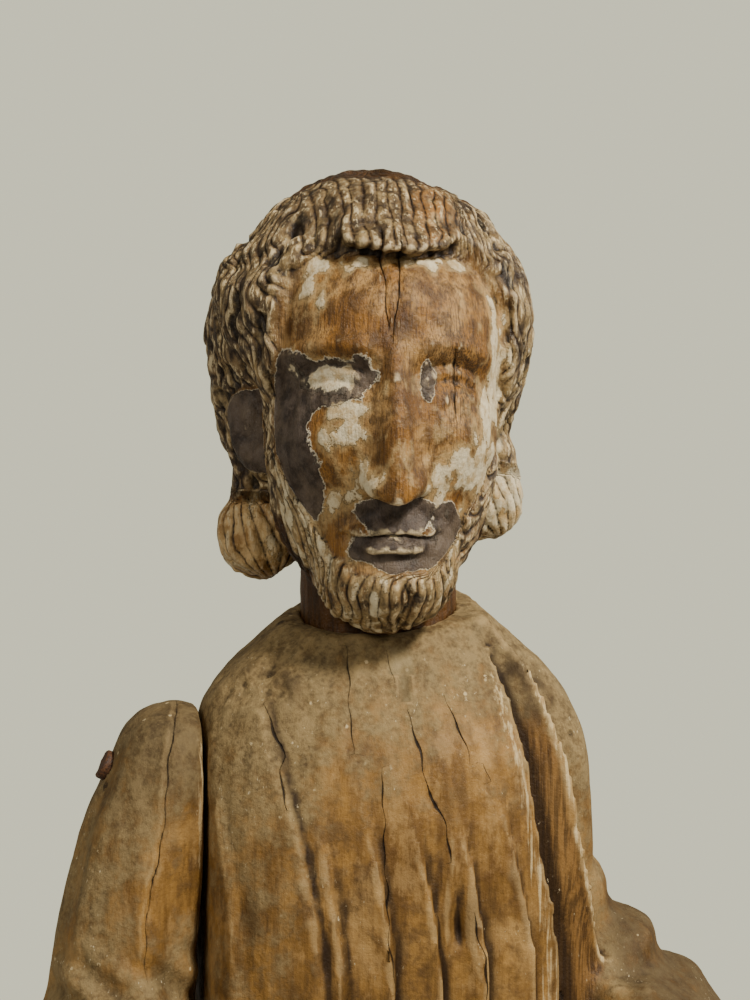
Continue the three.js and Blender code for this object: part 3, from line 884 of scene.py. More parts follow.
def engrave_head(skin):
    q = head_frame(skin.points)
    at = HeadPlaces(q)
    x, y, z = q.T
    from_neck = np.hypot(skin.points[:, 0] - NECK_CENTRE[0], skin.points[:, 1] - NECK_CENTRE[1])
    # The neck under the chin, down to its foot: no hair or beard there, and painted shade later.
    neck = fall(from_neck, NECK_RADIUS + 1, NECK_RADIUS + 5) * fall(z, -70, -52)
    neck = np.maximum(neck, 1 - fade(z, -107, -103))
    above_neck = 1 - neck
    curls = curl_weight(q)
    ears = fall(ear_field(q), 0.3, 1.6)
    tuft = fade(x, -42, -34) * fall(x, 31, 36) * fade(z, 54, 60) * fade(-y, 8, 24)
    cap = fade(z + 0.45 * y, 77, 90)
    hair = np.maximum(at.hairy, tuft) * (1 - ears)
    hair = np.maximum(hair, curls) * above_neck
    # Side hair falls in wavy strands; the tuft's hang straight, the curls' wind round.
    sway = 1.5 * noise(q, (12, 12, 17), 3) + 0.45 * np.sin(z / 5.0 + 4.0 * noise(q, 22, 5))
    falling = at.turn / 360 * SIDE_STRANDS + sway + at.d[:, 2] * 3.0
    hanging = x / TUFT_STRAND + 0.35 * noise(q, (7, 7, 15), 9)
    phase = mix(falling, hanging, tuft)
    for centre, radii in CURLS:
        r = q - np.array(centre)
        wind = np.degrees(np.arctan2(r[:, 0] + 0.35 * r[:, 2], -r[:, 1])) / 360 * CURL_STRANDS
        near = fall(ball_field(q, centre, radii), 2, 6)
        phase = mix(phase, wind + 0.4 * noise(q, 10, 11), near)
    # Beard strands wave straight down the chin and follow the band along the jaw.
    chin = x / CHIN_STRAND + 0.45 * np.sin(z / 5.5 + x / 9 + 1.5 * noise(q, 14, 22))
    chin += 0.2 * noise(q, (9, 9, 14), 21)
    along_jaw = at.beard_edge / JAW_STRAND + 0.2 * x + 0.6 * noise(q, (7, 7, 7), 23)
    beard_phase = mix(chin, along_jaw, fade(np.abs(x), 24, 32))
    beard = at.bearded * above_neck * (1 - curls) * fade(-y, 12, 28)
    phase = mix(phase, beard_phase, beard)
    weight = np.maximum(hair, beard)
    back_seam = 1 - fall(np.abs(x), 1.5, 5) * fade(y, 20, 40)
    # Wear takes the strands down here and there.
    worn = 0.3 + 0.7 * fade(rough(q, (8, 8, 14), 27), -0.4, 0.4)
    depth = (1.5 * hair * (1 - 0.75 * cap) * (1 - 0.3 * tuft) * back_seam + 2.0 * beard) * worn
    height = depth * strand_height(phase)
    # Short cuts of the gouge break the strands up.
    cuts = fade(noise(q, (5.5, 5.5, 10), 29) + 0.6 * noise(q, (11, 11, 15), 30), 0.1, 0.5)
    height -= 2.0 * cuts * hair * (1 - 0.7 * cap) * (1 - 0.6 * tuft) * (1 - 0.5 * curls)
    height += 2.0 * hair * (1 - 0.5 * cap) * (1 - 0.6 * tuft) * rough(q, (7, 7, 14), 33, 2)
    height += 0.4 * weight * noise(q, (3, 3, 8), 35)
    height -= 2.6 * beard * bell(x, 6 + 1.5 * np.sin(z / 3), 1.8) * fall(z, -88, -80)
    height += 0.45 * rough(q, 9, 41) * (1 - weight)
    height += 0.25 * noise(q, (2.6, 2.6, 12), 43)
    # Two fine drying cracks run down the forehead from the tuft, and short ones beside an eye.
    forehead = fade(z, 14, 26) * (1 - at.hairy) * fade(-y, 30, 50)
    first = x + 3.5 + 0.06 * (z - 40) - 1.2 * noise(q, (50, 50, 11), 51)
    second = x - 1.5 - 0.10 * (z - 40) - 1.0 * noise(q, (50, 50, 13), 52)
    third = x - 27 - 0.8 * noise(q, (50, 50, 9), 53)
    splits = fade(z, -18, -10) * fall(z, 12, 20) * fade(-y, 20, 30)
    offset = np.where(np.abs(first) < np.abs(second), first, second)
    offset = np.where(splits > 0.3, third, offset)
    near_crack = np.maximum(forehead * fade(rough(q, 9, 55), -0.9, -0.2), splits)
    near_crack = near_crack * fall(np.abs(offset), 2.5, 3.4)
    height -= 0.8 * near_crack * bell(offset, 0, 0.9)
    # Weather has opened the grain around the left eye.
    height -= 0.9 * spot(x, z, 28, 0, 13, 20) * fade(noise(q, (2.2, 2.2, 18), 57), 0, 0.6)
    # Paint and gesso remains, as guides that the material cuts at zero.
    side_noise = rough(q, 13, 61, 4)
    paint = painted(-1.15 + 0.75 * side_noise, at, PAINT_PLACES)
    paint = mix(paint, 0.7 + 0.4 * side_noise, ears)
    paint = mix(paint, -1.1 + 1.1 * rough(q, 8, 67), weight * 0.9)
    gesso = -0.75 + 1.1 * rough(q, (6, 6, 9), 71, 3)
    gesso -= 0.5 * spot(at.x, at.z, 5, 30, 30, 16)
    gesso = painted(gesso, at, GESSO_PLACES)
    flecks = -0.7 + 1.1 * rough(q, (4, 4, 11), 73, 2) + 0.35 * fade(x, 35, 60) * fade(-z, -60, 20)
    gesso = mix(gesso, flecks, hair)
    gesso += 0.5 * curls * fade(x, 0, 20) + 0.35 * curls
    gesso = mix(gesso, -0.48 + 1.1 * rough(q, (4, 4, 13), 75, 2) + 0.45 * fade(-x, -8, 10), beard)
    gesso += 0.8 * bell(at.beyond, -2, 3) * fade(x, 10, 40) * fade(rough(q, 8, 77, 2), -0.4, 0.5)
    raised = fade(paint, -0.03, 0.06) + 0.8 * fade(gesso, 0.0, 0.15)
    height += 0.5 * np.clip(raised, 0, 1) * (1 - weight)
    skin.engrave(height)
    skin.layers["strand"] = phase
    # Gouge cuts in the hair, where painted shade goes, and the opened grain by the left eye.
    pits = cuts * hair * (1 - 0.8 * cap) * (1 - 0.5 * tuft) * (1 - 0.4 * curls)
    skin.layers["pits"] = pits + 0.9 * spot(x, z, 30, 6, 13, 24) * (1 - weight) * fade(-y, 0, 20)
    skin.layers["hair"] = weight * back_seam
    # Warm orange on the fringe and beard, strongest on the curls, where it is partly painted light.
    skin.layers["warm"] = 0.65 * spot(x, z, 20, 80, 16, 24) * fade(-y, 0, 20) + 0.35 * beard + 0.9 * curls
    skin.layers["paint"] = paint
    skin.layers["gesso"] = gesso
    skin.layers["crack"] = np.clip(offset, -CRACK_SIDE, CRACK_SIDE)
    skin.layers["crack_near"] = near_crack
    # Painted shade on the neck under the chin and under the jaw; the crown's cap is darker with dirt.
    under_jaw = fade(y, -40, -26) * fall(z, -60, -48) * (1 - curls)
    neck = np.maximum(neck, under_jaw * (1 - beard * fade(-y, 30, 45)))
    skin.layers["dark"] = np.clip(np.maximum(neck, 0.75 * cap), 0, 1)
    skin.layers["face"] = (1 - weight) * (1 - neck) * (1 - cap)
    # Hollowness, for painted shade in the hollows and wear on the edges.
    skin.layers["hollow"] = skin.hollowness(3, 0.45)
    skin.layers["broad"] = skin.hollowness(26, 3.0)


# ---- materials ------------------------------------------------------------------------------


class Paintwork:
    """A node tree for one material; every method adds nodes and returns an output socket."""

    def __init__(self, name):
        self.material = bpy.data.materials.new(name)
        self.material.use_nodes = True
        self.tree = self.material.node_tree
        self.shader = self.tree.nodes["Principled BSDF"]
        self.place = self.tree.nodes.new("ShaderNodeTexCoord").outputs["Object"]

    def link(self, value, socket):
        if isinstance(value, (int, float)):
            socket.default_value = value
        elif isinstance(value, tuple):
            socket.default_value = (*value, 1) if len(value) == 3 else value
        else:
            self.tree.links.new(value, socket)

    def layer(self, name):
        node = self.tree.nodes.new("ShaderNodeAttribute")
        node.attribute_name = name
        return node.outputs["Fac"]

    def maths(self, operation, a, b=0.0, c=0.0):
        node = self.tree.nodes.new("ShaderNodeMath")
        node.operation = operation
        for value, socket in zip((a, b, c), node.inputs):
            self.link(value, socket)
        return node.outputs[0]

    def plus(self, a, b):
        return self.maths("ADD", a, b)

    def times(self, a, b):
        return self.maths("MULTIPLY", a, b)

    def step(self, value, low, high, bottom=0.0, top=1.0):
        node = self.tree.nodes.new("ShaderNodeMapRange")
        node.interpolation_type = "SMOOTHSTEP"
        for value_in, socket in zip((value, low, high, bottom, top), node.inputs):
            self.link(value_in, socket)
        return node.outputs[0]

    def stretched(self, size):
        """Object coordinates divided by a size in millimetres along each axis."""
        node = self.tree.nodes.new("ShaderNodeMapping")
        self.link(self.place, node.inputs["Vector"])
        node.inputs["Scale"].default_value = [1 / (MM * s) for s in size]
        return node.outputs[0]

    def noise(self, size, detail=3.0, roughness=0.55, offset=0.0):
        size = size if isinstance(size, tuple) else (size, size, size)
        node = self.tree.nodes.new("ShaderNodeTexNoise")
        node.noise_dimensions = "4D"
        self.link(self.stretched(size), node.inputs["Vector"])
        node.inputs["W"].default_value = offset
        node.inputs["Scale"].default_value = 1.0
        node.inputs["Detail"].default_value = detail
        node.inputs["Roughness"].default_value = roughness
        return node.outputs["Fac"]

    def specks(self, size, share):
        """1 inside scattered round specks, 0 elsewhere."""
        node = self.tree.nodes.new("ShaderNodeTexVoronoi")
        self.link(self.stretched((size, size, size)), node.inputs["Vector"])
        node.inputs["Scale"].default_value = 1.0
        near = self.step(node.outputs["Distance"], 0.16, 0.34, 1.0, 0.0)
        parts = self.tree.nodes.new("ShaderNodeSeparateColor")
        self.link(node.outputs["Color"], parts.inputs[0])
        return self.times(near, self.maths("LESS_THAN", parts.outputs[0], share))

    def blend(self, share, a, b, mode="MIX"):
        node = self.tree.nodes.new("ShaderNodeMix")
        node.data_type = "RGBA"
        node.blend_type = mode
        self.link(share, node.inputs["Factor"])
        self.link(a, node.inputs[6])
        self.link(b, node.inputs[7])
        return node.outputs[2]

    def ragged(self, value, cloud, share):
        """A value whose contours a noise of 0 to 1 makes ragged."""
        return self.plus(value, self.times(self.plus(cloud, -0.5), share))

    def between(self, value, low, high, first, last):
        """A colour that turns from the first to the last as a value climbs."""
        return self.blend(self.step(value, low, high), srgb(*first), srgb(*last))

    def coat(self, below, strength, ramp, colour):
        """A colour laid over what is below, where the ramp's value has climbed."""
        return self.blend(self.times(self.step(*ramp), strength), below, srgb(*colour))

    def bump(self, height, distance, before=None, strength=1.0):
        node = self.tree.nodes.new("ShaderNodeBump")
        node.inputs["Strength"].default_value = strength
        node.inputs["Distance"].default_value = distance * MM
        self.link(height, node.inputs["Height"])
        if before is not None:
            self.link(before, node.inputs["Normal"])
        return node.outputs[0]

    def finish(self, colour, roughness, normal, specular):
        self.link(colour, self.shader.inputs["Base Color"])
        self.link(roughness, self.shader.inputs["Roughness"])
        self.link(normal, self.shader.inputs["Normal"])
        self.shader.inputs["Specular IOR Level"].default_value = specular
        return self.material


def srgb(red, green, blue):
    """A colour given as it looks on a screen, 0 to 255, as linear light."""
    parts = [v / 255 for v in (red, green, blue)]
    return tuple(v / 12.92 if v <= 0.04045 else ((v + 0.055) / 1.055) ** 2.4 for v in parts)


def wood_fibre(w, offset=0.0):
    """Fine upright fibres and broader streaks, 0 to 1 each."""
    fine = w.noise((0.7, 0.7, 32), 3, 0.6, offset)
    broad = w.noise((9, 9, 70), 5, 0.65, offset + 4)
    return fine, broad


def crack_line(w, gape=0.5):
    """1 inside a crack as wide as its gape in millimetres, 0 elsewhere."""
    away = w.plus(w.maths("ABSOLUTE", w.layer("crack")), w.times(w.noise((1.5, 1.5, 4), 2), 0.3))
    inside = w.step(w.maths("SUBTRACT", away, gape), -0.1, 0.35, 1.0, 0.0)
    return w.times(inside, w.layer("crack_near"))


def robe_material():
    w = Paintwork("robe_wood")
    fine, broad = wood_fibre(w)
    cloud = w.noise(40, 4, 0.6, 2)
    blotch = w.noise(9, 5, 0.65, 7)
    mottle = w.noise(2.6, 4, 0.7, 11)
    flecks = w.noise((1.6, 1.6, 3.5), 4, 0.65, 13)
    wood = w.between(broad, 0.34, 0.66, (104, 74, 34), (158, 118, 60))
    wood = w.coat(wood, 0.75, (cloud, 0.45, 0.66), (188, 150, 92))
    wood = w.coat(wood, 0.6, (blotch, 0.46, 0.66), (90, 62, 30))
    wood = w.coat(wood, 0.3, (fine, 0.5, 0.75), (92, 64, 34))
    stain = w.noise((14, 14, 22), 5, 0.7, 17)
    wood = w.coat(wood, 0.6, (stain, 0.5, 0.64), (80, 60, 38))
    patches = w.noise((15, 15, 32), 5, 0.7, 19)
    wood = w.coat(wood, 0.5, (patches, 0.5, 0.62), (180, 144, 90))
    wood = w.coat(wood, 0.5, (patches, 0.36, 0.48, 1.0, 0.0), (82, 60, 32))
    dust_share = w.ragged(w.layer("dust"), blotch, 2.2)
    dust_share = w.ragged(dust_share, cloud, 1.2)
    dusty = w.plus(w.times(mottle, 0.5), w.times(blotch, 0.5))
    dust_colour = w.between(dusty, 0.36, 0.6, (76, 64, 44), (150, 130, 90))
    wood = w.blend(w.times(w.step(dust_share, 0.2, 1.1), 0.8), wood, dust_colour)
    pale = w.ragged(w.layer("gesso"), mottle, 1.1)
    wood = w.coat(wood, 0.5, (pale, -0.35, 0.2), (190, 168, 124))
    hollow = w.layer("hollow")
    # Painted shade: broad and narrow hollows are darkened.
    wood = w.coat(wood, 0.8, (w.layer("broad"), 0.0, 0.9), (44, 29, 14))
    wood = w.coat(wood, 0.8, (hollow, 0.12, 0.8), (38, 25, 13))
    rubbed = w.ragged(w.times(hollow, -1.0), blotch, 0.9)
    wood = w.coat(wood, 0.32, (rubbed, 0.2, 0.75), (200, 170, 118))
    wood = w.coat(wood, 0.85, (pale, 0.0, 0.25), (216, 202, 168))
    stole = w.step(w.ragged(w.layer("stole"), blotch, 0.8), 0.25, 0.8)
    streak = w.noise((1.6, 1.6, 46), 3, 0.6, 23)
    trough = w.between(streak, 0.4, 0.6, (72, 49, 24), (140, 102, 54))
    wood = w.blend(w.times(stole, 0.8), wood, trough)
    # Painted shade at the feet of the folds and in the valleys; the same coat darkens the knotty patch, the
    # shaded streaks and parts of the sleeves.
    foot = w.times(w.layer("foot"), w.step(mottle, 0.25, 0.55, 0.7, 1.0))
    wood = w.coat(wood, 0.88, (foot, 0.15, 0.8), (40, 26, 13))
    worn = w.ragged(w.layer("ridge"), streak, 1.8)
    worn = w.times(w.step(w.ragged(worn, blotch, 1.0), 0.4, 0.85), w.step(w.layer("ridge"), 0.05, 0.4))
    wood = w.blend(w.times(worn, 0.72), wood, w.between(streak, 0.4, 0.6, (190, 152, 94), (224, 200, 152)))
    cream = w.times(w.step(flecks, 0.62, 0.68), w.step(w.plus(cloud, w.times(blotch, 0.8)), 0.88, 1.05))
    wood = w.blend(w.times(cream, 0.8), wood, srgb(226, 208, 168))
    dots = w.times(w.specks(3.6, 0.04), w.step(mottle, 0.42, 0.52))
    dots = w.times(dots, w.step(w.plus(w.layer("dust"), w.times(cloud, 0.8)), 0.8, 1.1))
    wood = w.blend(w.times(dots, 0.7), wood, srgb(222, 200, 154))
    holes = w.times(w.specks(10.0, 0.025), w.step(mottle, 0.4, 0.5))
    wood = w.blend(w.times(holes, 0.8), wood, srgb(30, 20, 12))
    patch = w.layer("filler")
    putty = w.between(blotch, 0.35, 0.65, (118, 100, 66), (154, 136, 98))
    wood = w.blend(w.times(patch, 0.75), wood, putty)
    line = crack_line(w, w.layer("gape"))
    wood = w.blend(w.times(line, 0.93), wood, srgb(24, 14, 7))
    roughness = w.plus(w.times(mottle, 0.25), w.step(dust_share, 0.2, 0.9, 0.40, 0.62))
    relief = w.bump(w.plus(fine, w.times(broad, 0.8)), 0.22)
    relief = w.bump(w.plus(w.times(mottle, 0.7), w.times(blotch, 1.4)), 0.8, relief, 0.9)
    relief = w.bump(w.plus(holes, line), -0.8, relief)
    return w.finish(wood, roughness, relief, specular=0.25)


def head_material():
    w = Paintwork("head_wood")
    fine, broad = wood_fibre(w, 20)
    cloud = w.noise(26, 4, 0.6, 31)
    blotch = w.noise(7, 5, 0.65, 33)
    mottle = w.noise(2.2, 4, 0.7, 35)
    hair = w.layer("hair")
    face = w.layer("face")
    hollow = w.layer("hollow")
    wood = w.between(broad, 0.36, 0.64, (84, 54, 20), (150, 104, 44))
    wood = w.coat(wood, w.times(face, 0.8), (cloud, 0.44, 0.6), (186, 146, 90))
    wood = w.coat(wood, 0.75, (blotch, 0.46, 0.6), (88, 62, 30))
    wood = w.coat(wood, 0.6, (fine, 0.48, 0.62), (58, 36, 16))
    decayed = w.times(w.layer("pits"), w.step(fine, 0.42, 0.56))
    wood = w.blend(w.times(decayed, 0.85), wood, srgb(50, 33, 16))
    # Hair: painted shade in the grooves between the strands and in the gouge cuts, rubbed brown along them,
    # and painted cream highlights on their crests.
    hair_wood = w.between(blotch, 0.38, 0.6, (66, 53, 38), (128, 104, 70))
    # Warm orange on the fringe, beard and curls; on the curls it is partly painted light.
    warm = w.step(w.ragged(w.layer("warm"), blotch, 1.6), 0.25, 0.8)
    hair_wood = w.blend(w.times(warm, 0.75), hair_wood, srgb(164, 112, 52))
    crest = w.maths("ABSOLUTE", w.maths("SINE", w.times(w.layer("strand"), math.pi)))
    streak = w.noise((1.7, 1.7, 8), 4, 0.7, 37)
    groove = w.times(w.step(crest, 0.0, 0.55, 1.0, 0.0), w.step(streak, 0.4, 0.55, 0.25, 0.95))
    hair_wood = w.blend(groove, hair_wood, srgb(22, 16, 11))
    # Painted shade in finer grooves, drawn between the carved ones.
    half = w.maths("ABSOLUTE", w.maths("SINE", w.times(w.layer("strand"), 2 * math.pi)))
    split = w.times(w.step(half, 0.0, 0.4, 1.0, 0.0), w.step(streak, 0.45, 0.6, 0.2, 0.8))
    hair_wood = w.blend(split, hair_wood, srgb(38, 27, 16))
    # Painted shade in the gouge cuts.
    pits = w.step(w.ragged(w.layer("pits"), streak, 0.8), 0.25, 0.8)
    hair_wood = w.blend(w.times(pits, 0.85), hair_wood, srgb(28, 21, 15))
    # The curls turn a pale honey: partly their wood's tone, partly painted light on them.
    curled = w.step(w.layer("warm"), 0.68, 0.88)
    honey_and_painted_light = w.between(blotch, 0.4, 0.58, (156, 118, 66), (222, 186, 130))
    hair_wood = w.blend(w.times(curled, 0.85), hair_wood, honey_and_painted_light)
    # Painted cream highlights along the strands' crests, fewer in the cuts.
    glint = w.plus(w.times(streak, 0.7), w.times(blotch, 0.3))
    shining = w.times(w.step(crest, 0.45, 0.95), w.step(glint, 0.51, 0.57))
    hair_wood = w.blend(w.times(shining, w.step(pits, 0.0, 0.6, 0.85, 0.2)), hair_wood, srgb(222, 202, 158))
    wood = w.blend(hair, wood, hair_wood)
    # Painted shade on the neck and under the jaw, and the crown's dirty cap, in a dark brown.
    dark = w.ragged(w.layer("dark"), blotch, 0.5)
    shade_and_grime = w.between(broad, 0.4, 0.6, (46, 28, 10), (88, 56, 22))
    wood = w.blend(w.times(w.step(dark, 0.15, 0.7), 0.95), wood, shade_and_grime)
    gesso = w.ragged(w.layer("gesso"), mottle, 1.3)
    chalky = w.plus(w.times(mottle, 0.4), w.times(blotch, 0.6))
    chalk = w.between(chalky, 0.46, 0.6, (224, 210, 174), (188, 162, 118))
    # Gesso, paint and wear stay off the painted shade and the dark cap.
    out_of_dark = w.step(w.layer("dark"), 0.2, 0.6, 1.0, 0.0)
    wood = w.coat(wood, w.times(out_of_dark, 0.5), (gesso, -0.6, 0.05), (204, 174, 120))
    bared = w.step(fine, 0.56, 0.66, 1.0, 0.45)
    wood = w.blend(w.times(w.step(gesso, 0.0, 0.16), w.times(out_of_dark, w.times(bared, 0.8))), wood, chalk)
    paint = w.plus(w.layer("paint"), w.ragged(w.times(w.plus(mottle, -0.5), 0.6), blotch, 0.8))
    rim = w.times(w.step(paint, -0.12, -0.04), w.step(paint, 0.0, 0.05, 1.0, 0.0))
    wood = w.blend(w.times(rim, w.times(out_of_dark, 0.85)), wood, srgb(222, 210, 182))
    film = w.between(blotch, 0.38, 0.62, (46, 39, 35), (92, 80, 70))
    film = w.coat(film, 0.5, (cloud, 0.5, 0.62), (112, 98, 84))
    wood = w.blend(w.times(w.step(paint, -0.02, 0.03), w.times(out_of_dark, 0.93)), wood, film)
    wood = w.blend(w.times(w.step(gesso, 0.3, 0.45), w.times(out_of_dark, 0.85)), wood, chalk)
    # Painted shade in the strand grooves again, over the gesso.
    furrow = w.times(w.times(groove, w.step(gesso, 0.2, 0.7, 0.9, 0.45)), hair)
    wood = w.blend(furrow, wood, srgb(48, 31, 16))
    # Painted shade: narrow and broad hollows are darkened.
    wood = w.coat(wood, 0.85, (hollow, 0.15, 0.8), (26, 18, 12))
    wood = w.coat(wood, 0.65, (w.layer("broad"), 0.05, 0.9), (36, 25, 15))
    rubbed = w.ragged(w.times(hollow, -1.0), blotch, 1.1)
    bare = w.maths("MULTIPLY_ADD", hair, -0.2, 0.75)
    wood = w.coat(wood, w.times(out_of_dark, bare), (rubbed, 0.3, 0.8), (222, 200, 158))
    line = crack_line(w, 0.15)
    wood = w.blend(w.times(line, 0.9), wood, srgb(24, 15, 8))
    roughness = w.plus(w.times(mottle, 0.25), w.step(gesso, -0.2, 0.2, 0.24, 0.42))
    relief = w.bump(w.plus(fine, w.times(broad, 0.8)), 0.45)
    relief = w.bump(w.plus(mottle, w.times(blotch, 1.4)), 0.8, relief, 0.9)
    relief = w.bump(w.step(paint, -0.03, 0.03), 0.5, relief)
    relief = w.bump(w.step(gesso, 0.0, 0.1), 0.35, relief)
    relief = w.bump(w.times(crest, hair), 0.5, relief)
    relief = w.bump(line, -0.8, relief)
    return w.finish(wood, roughness, relief, specular=0.28)


def plinth_material():
    w = Paintwork("plinth_wood")
    fine = w.noise((26, 1.0, 1.0), 3, 0.6, 50)
    broad = w.noise((110, 7, 7), 4, 0.6, 52)
    blotch = w.noise(14, 5, 0.65, 54)
    wood = w.between(broad, 0.35, 0.65, (78, 56, 34), (128, 96, 58))
    wood = w.coat(wood, 0.5, (fine, 0.5, 0.7), (50, 34, 20))
    wood = w.coat(wood, 0.6, (blotch, 0.45, 0.7), (134, 118, 88))
    hollow = w.layer("hollow")
    # Painted shade in the hollows.
    wood = w.coat(wood, 0.8, (hollow, 0.1, 0.8), (34, 24, 15))
    rubbed = w.ragged(w.times(hollow, -1.0), blotch, 0.7)
    wood = w.coat(wood, 0.8, (rubbed, 0.15, 0.6), (196, 166, 120))
    relief = w.bump(w.plus(fine, broad), 0.7)
    relief = w.bump(blotch, 0.9, relief)
    return w.finish(wood, w.step(blotch, 0.2, 0.8, 0.5, 0.75), relief, specular=0.4)


def peg_material():
    w = Paintwork("peg_wood")
    fine = w.noise(1.2, 4, 0.6, 60)
    wood = w.between(fine, 0.35, 0.65, (58, 36, 22), (104, 68, 40))
    return w.finish(wood, w.step(fine, 0.3, 0.7, 0.5, 0.7), w.bump(fine, 0.4), specular=0.4)


# ---- engraving of robe and arm --------------------------------------------------------------
# Drying cracks on the chest: stations of height and angle, and how wide the crack gapes.
CRACKS = [
    ([(867, -2), (856, 0.5), (845, 3.5), (834, 5.5), (827, 8), (817, 11), (802, 12.5)], 0.9),
    ([(842, -12), (815, -12.5), (786, -11.5), (748, -7.5), (700, -6)], 0.45),
    ([(872, 16), (861, 19), (844, 23)], 0.6),
    ([(780, 19.5), (761, 23), (745, 23.5), (715, 25)], 0.8),
    ([(843, 28), (836, 30)], 0.5),
    ([(870, -56), (848, -46.8), (826, -43)], 0.6),
    ([(893, -31), (872, -27), (850, -24)], 0.35),
    ([(892, -11.5), (884, -9.5), (878, -8)], 0.7),
    ([(650, -20), (560, -18), (470, -19)], 0.6),
    ([(520, 30), (400, 33), (330, 31)], 0.6),
]


FAR_AWAY = 99.0
CRACK_SIDE = 5.0
CRACK_NEAR = (2.2, 3.2)


def crack_offsets(angle, z, radius):
    """Signed distance to the nearest crack, how near it is, and how wide it gapes."""
    nearest = np.full(len(z), FAR_AWAY)
    width = np.zeros(len(z))
    wobble = 0.4 * np.sin(z / 2.3) + 0.5 * np.sin(z / 5.1 + 1) + 0.6 * np.sin(z / 13)
    for stations, gape in CRACKS:
        stations = sorted(stations)
        heights = np.array([row[0] for row in stations], float)
        angles = np.array([row[1] for row in stations], float)
        offset = np.radians(angle - np.interp(z, heights, angles)) * radius + wobble
        run = fade(z, heights[0] - 2, heights[0] + 8) * fall(z, heights[-1] - 8, heights[-1] + 2)
        away = np.where(run > 0.02, offset, FAR_AWAY)
        closer = np.abs(away) < np.abs(nearest)
        nearest = np.where(closer, away, nearest)
        width = np.where(closer, run * gape * (0.36 + 0.3 * np.sin(z / 3.7 + heights[0])), width)
    near = fall(np.abs(nearest), *CRACK_NEAR)
    return np.clip(nearest, -CRACK_SIDE, CRACK_SIDE), near, width


# Hollowness layers, which the materials use for painted shade in the hollows and wear on the edges.
def keep_hollows(skin):
    skin.layers["hollow"] = skin.hollowness(4, 0.55)
    skin.layers["broad"] = skin.hollowness(30, 3.5)


def engrave_body(skin):
    p = skin.points
    x, y, z = p.T
    forward = y - ROBE_MIDDLE(z)
    angle = np.degrees(np.arctan2(x, -forward))
    radius = np.hypot(x, forward)
    offset, near, gape = crack_offsets(angle, z, radius)
    near = near * fade(-forward, 5, 20) * fade(105 - np.abs(x), 0, 8)
    strip = unwrapped(angle, z)
    height = -1.6 * near * fade(gape, 0, 1) * bell(offset, 0, 1.1)
    height += 0.7 * rough(p, (18, 18, 50), 101) + 0.35 * noise(p, (5, 5, 40), 102)
    # Broad, shallow gouge marks across the panels, and fine weathering.
    height += 0.55 * rough(p, (9, 9, 20), 103)
    height += 0.25 * noise(p, (5.5, 5.5, 13), 104) * fade(z, 640, 700)
    # A knot has fallen out low on the chest, between two torn ridges.
    knot_line = 16.0 + 1.2 * np.sin(z / 9)
    knot = bell(angle, knot_line, 1.7) * fade(z, 762, 774) * fall(z, 784, 796)
    height -= 4.5 * knot * (0.65 + 0.35 * np.sin(z / 5.5))
    height += 1.3 * bell(angle, knot_line + 4, 1.6) * fade(z, 745, 765) * fall(z, 785, 812)
    height += 1.1 * bell(angle, knot_line - 4.5, 1.8) * fade(z, 745, 765) * fall(z, 790, 830)
    # The mantle's right edge has chipped away along its middle.
    edge = fade(z, 765, 790) * fall(z, 856, 868)
    chips = bell(strip, STRIP_RIGHT - 0.8, 0.8) * edge * fade(noise(p, (6, 6, 9), 105), 0, 0.5)
    height -= 0.9 * chips
    crest, foot, floor = fold_lines(strip, z)
    surface = outline(np.radians(angle), ROBE_WIDTH(z), ROBE_DEPTH(z)) + fold_height(strip, z)
    on_robe = fall(np.abs(radius - surface), 2.5, 6)
    # A rough, knotty patch high on the right side of the chest.
    patch = spot(angle, z, -60, 878, 20, 14) * fade(-forward, -10, 2)
    moss = rough(p, (7, 7, 9), 107, 2)
    height += 3.0 * patch * moss
    # A stepped repair below the collar, filled flush.
    at_front = fade(-forward, 20, 30)
    filler = fade(angle, -9, -8.4) * fall(angle, 2.5, 3.1) * fade(z, 881, 881.6) * fall(z, 893, 894)
    low_part = fade(angle, -5, -4.4) * fall(angle, 0.5, 1.1) * fade(z, 870, 870.6) * fall(z, 880, 882)
    filler = np.clip(filler + low_part, 0, 1) * at_front
    height = mix(height, -0.5 + 0.2 * rough(p, 5, 108), filler)
    skin.engrave(height)
    normals = skin.normals()
    upward = np.clip(normals[:, 2], 0, 1)
    dust = 0.10 + 0.75 * fade(z, 790, 900) + 0.5 * upward - 0.35 * spot(angle, z, 12, 770, 24, 60)
    dust += 0.45 * fade(np.abs(angle - 8), 32, 52) + 0.1 * fade(-z, -500, -150)
    dust -= 0.9 * floor * on_robe
    dust -= 0.45 * spot(angle, z, 22, 858, 12, 22)
    gesso = -0.95 + 0.7 * rough(p, (6, 6, 11), 111, 2) + 0.3 * fade(z, 830, 880)
    gesso += 0.2 * chips
    foot = np.maximum(foot, 0.8 * patch * fade(moss, -0.1, 0.4))
    shaded = spot(angle, z, 54, 872, 16, 24) * fade(rough(p, (5, 5, 26), 109, 2), -0.5, 0.5)
    foot = np.maximum(foot, 0.8 * shaded)
    skin.layers["dust"] = dust
    skin.layers["gesso"] = gesso
    on_robe = on_robe * fade(-forward, -25, 0) * fade(x + 84, 0, 3)
    skin.layers["ridge"] = crest * on_robe
    # The foot layer: painted shade along the folds, the dark of the knotty patch and the shaded streaks,
    # and on the left sleeve a darkening towards its outer side.
    skin.layers["foot"] = np.maximum(foot * on_robe, 0.56 * fade(x, 90, 108) * (1 - on_robe))
    skin.layers["stole"] = floor * on_robe
    skin.layers["filler"] = filler
    skin.layers["crack"] = offset
    skin.layers["gape"] = gape
    skin.layers["crack_near"] = near
    keep_hollows(skin)


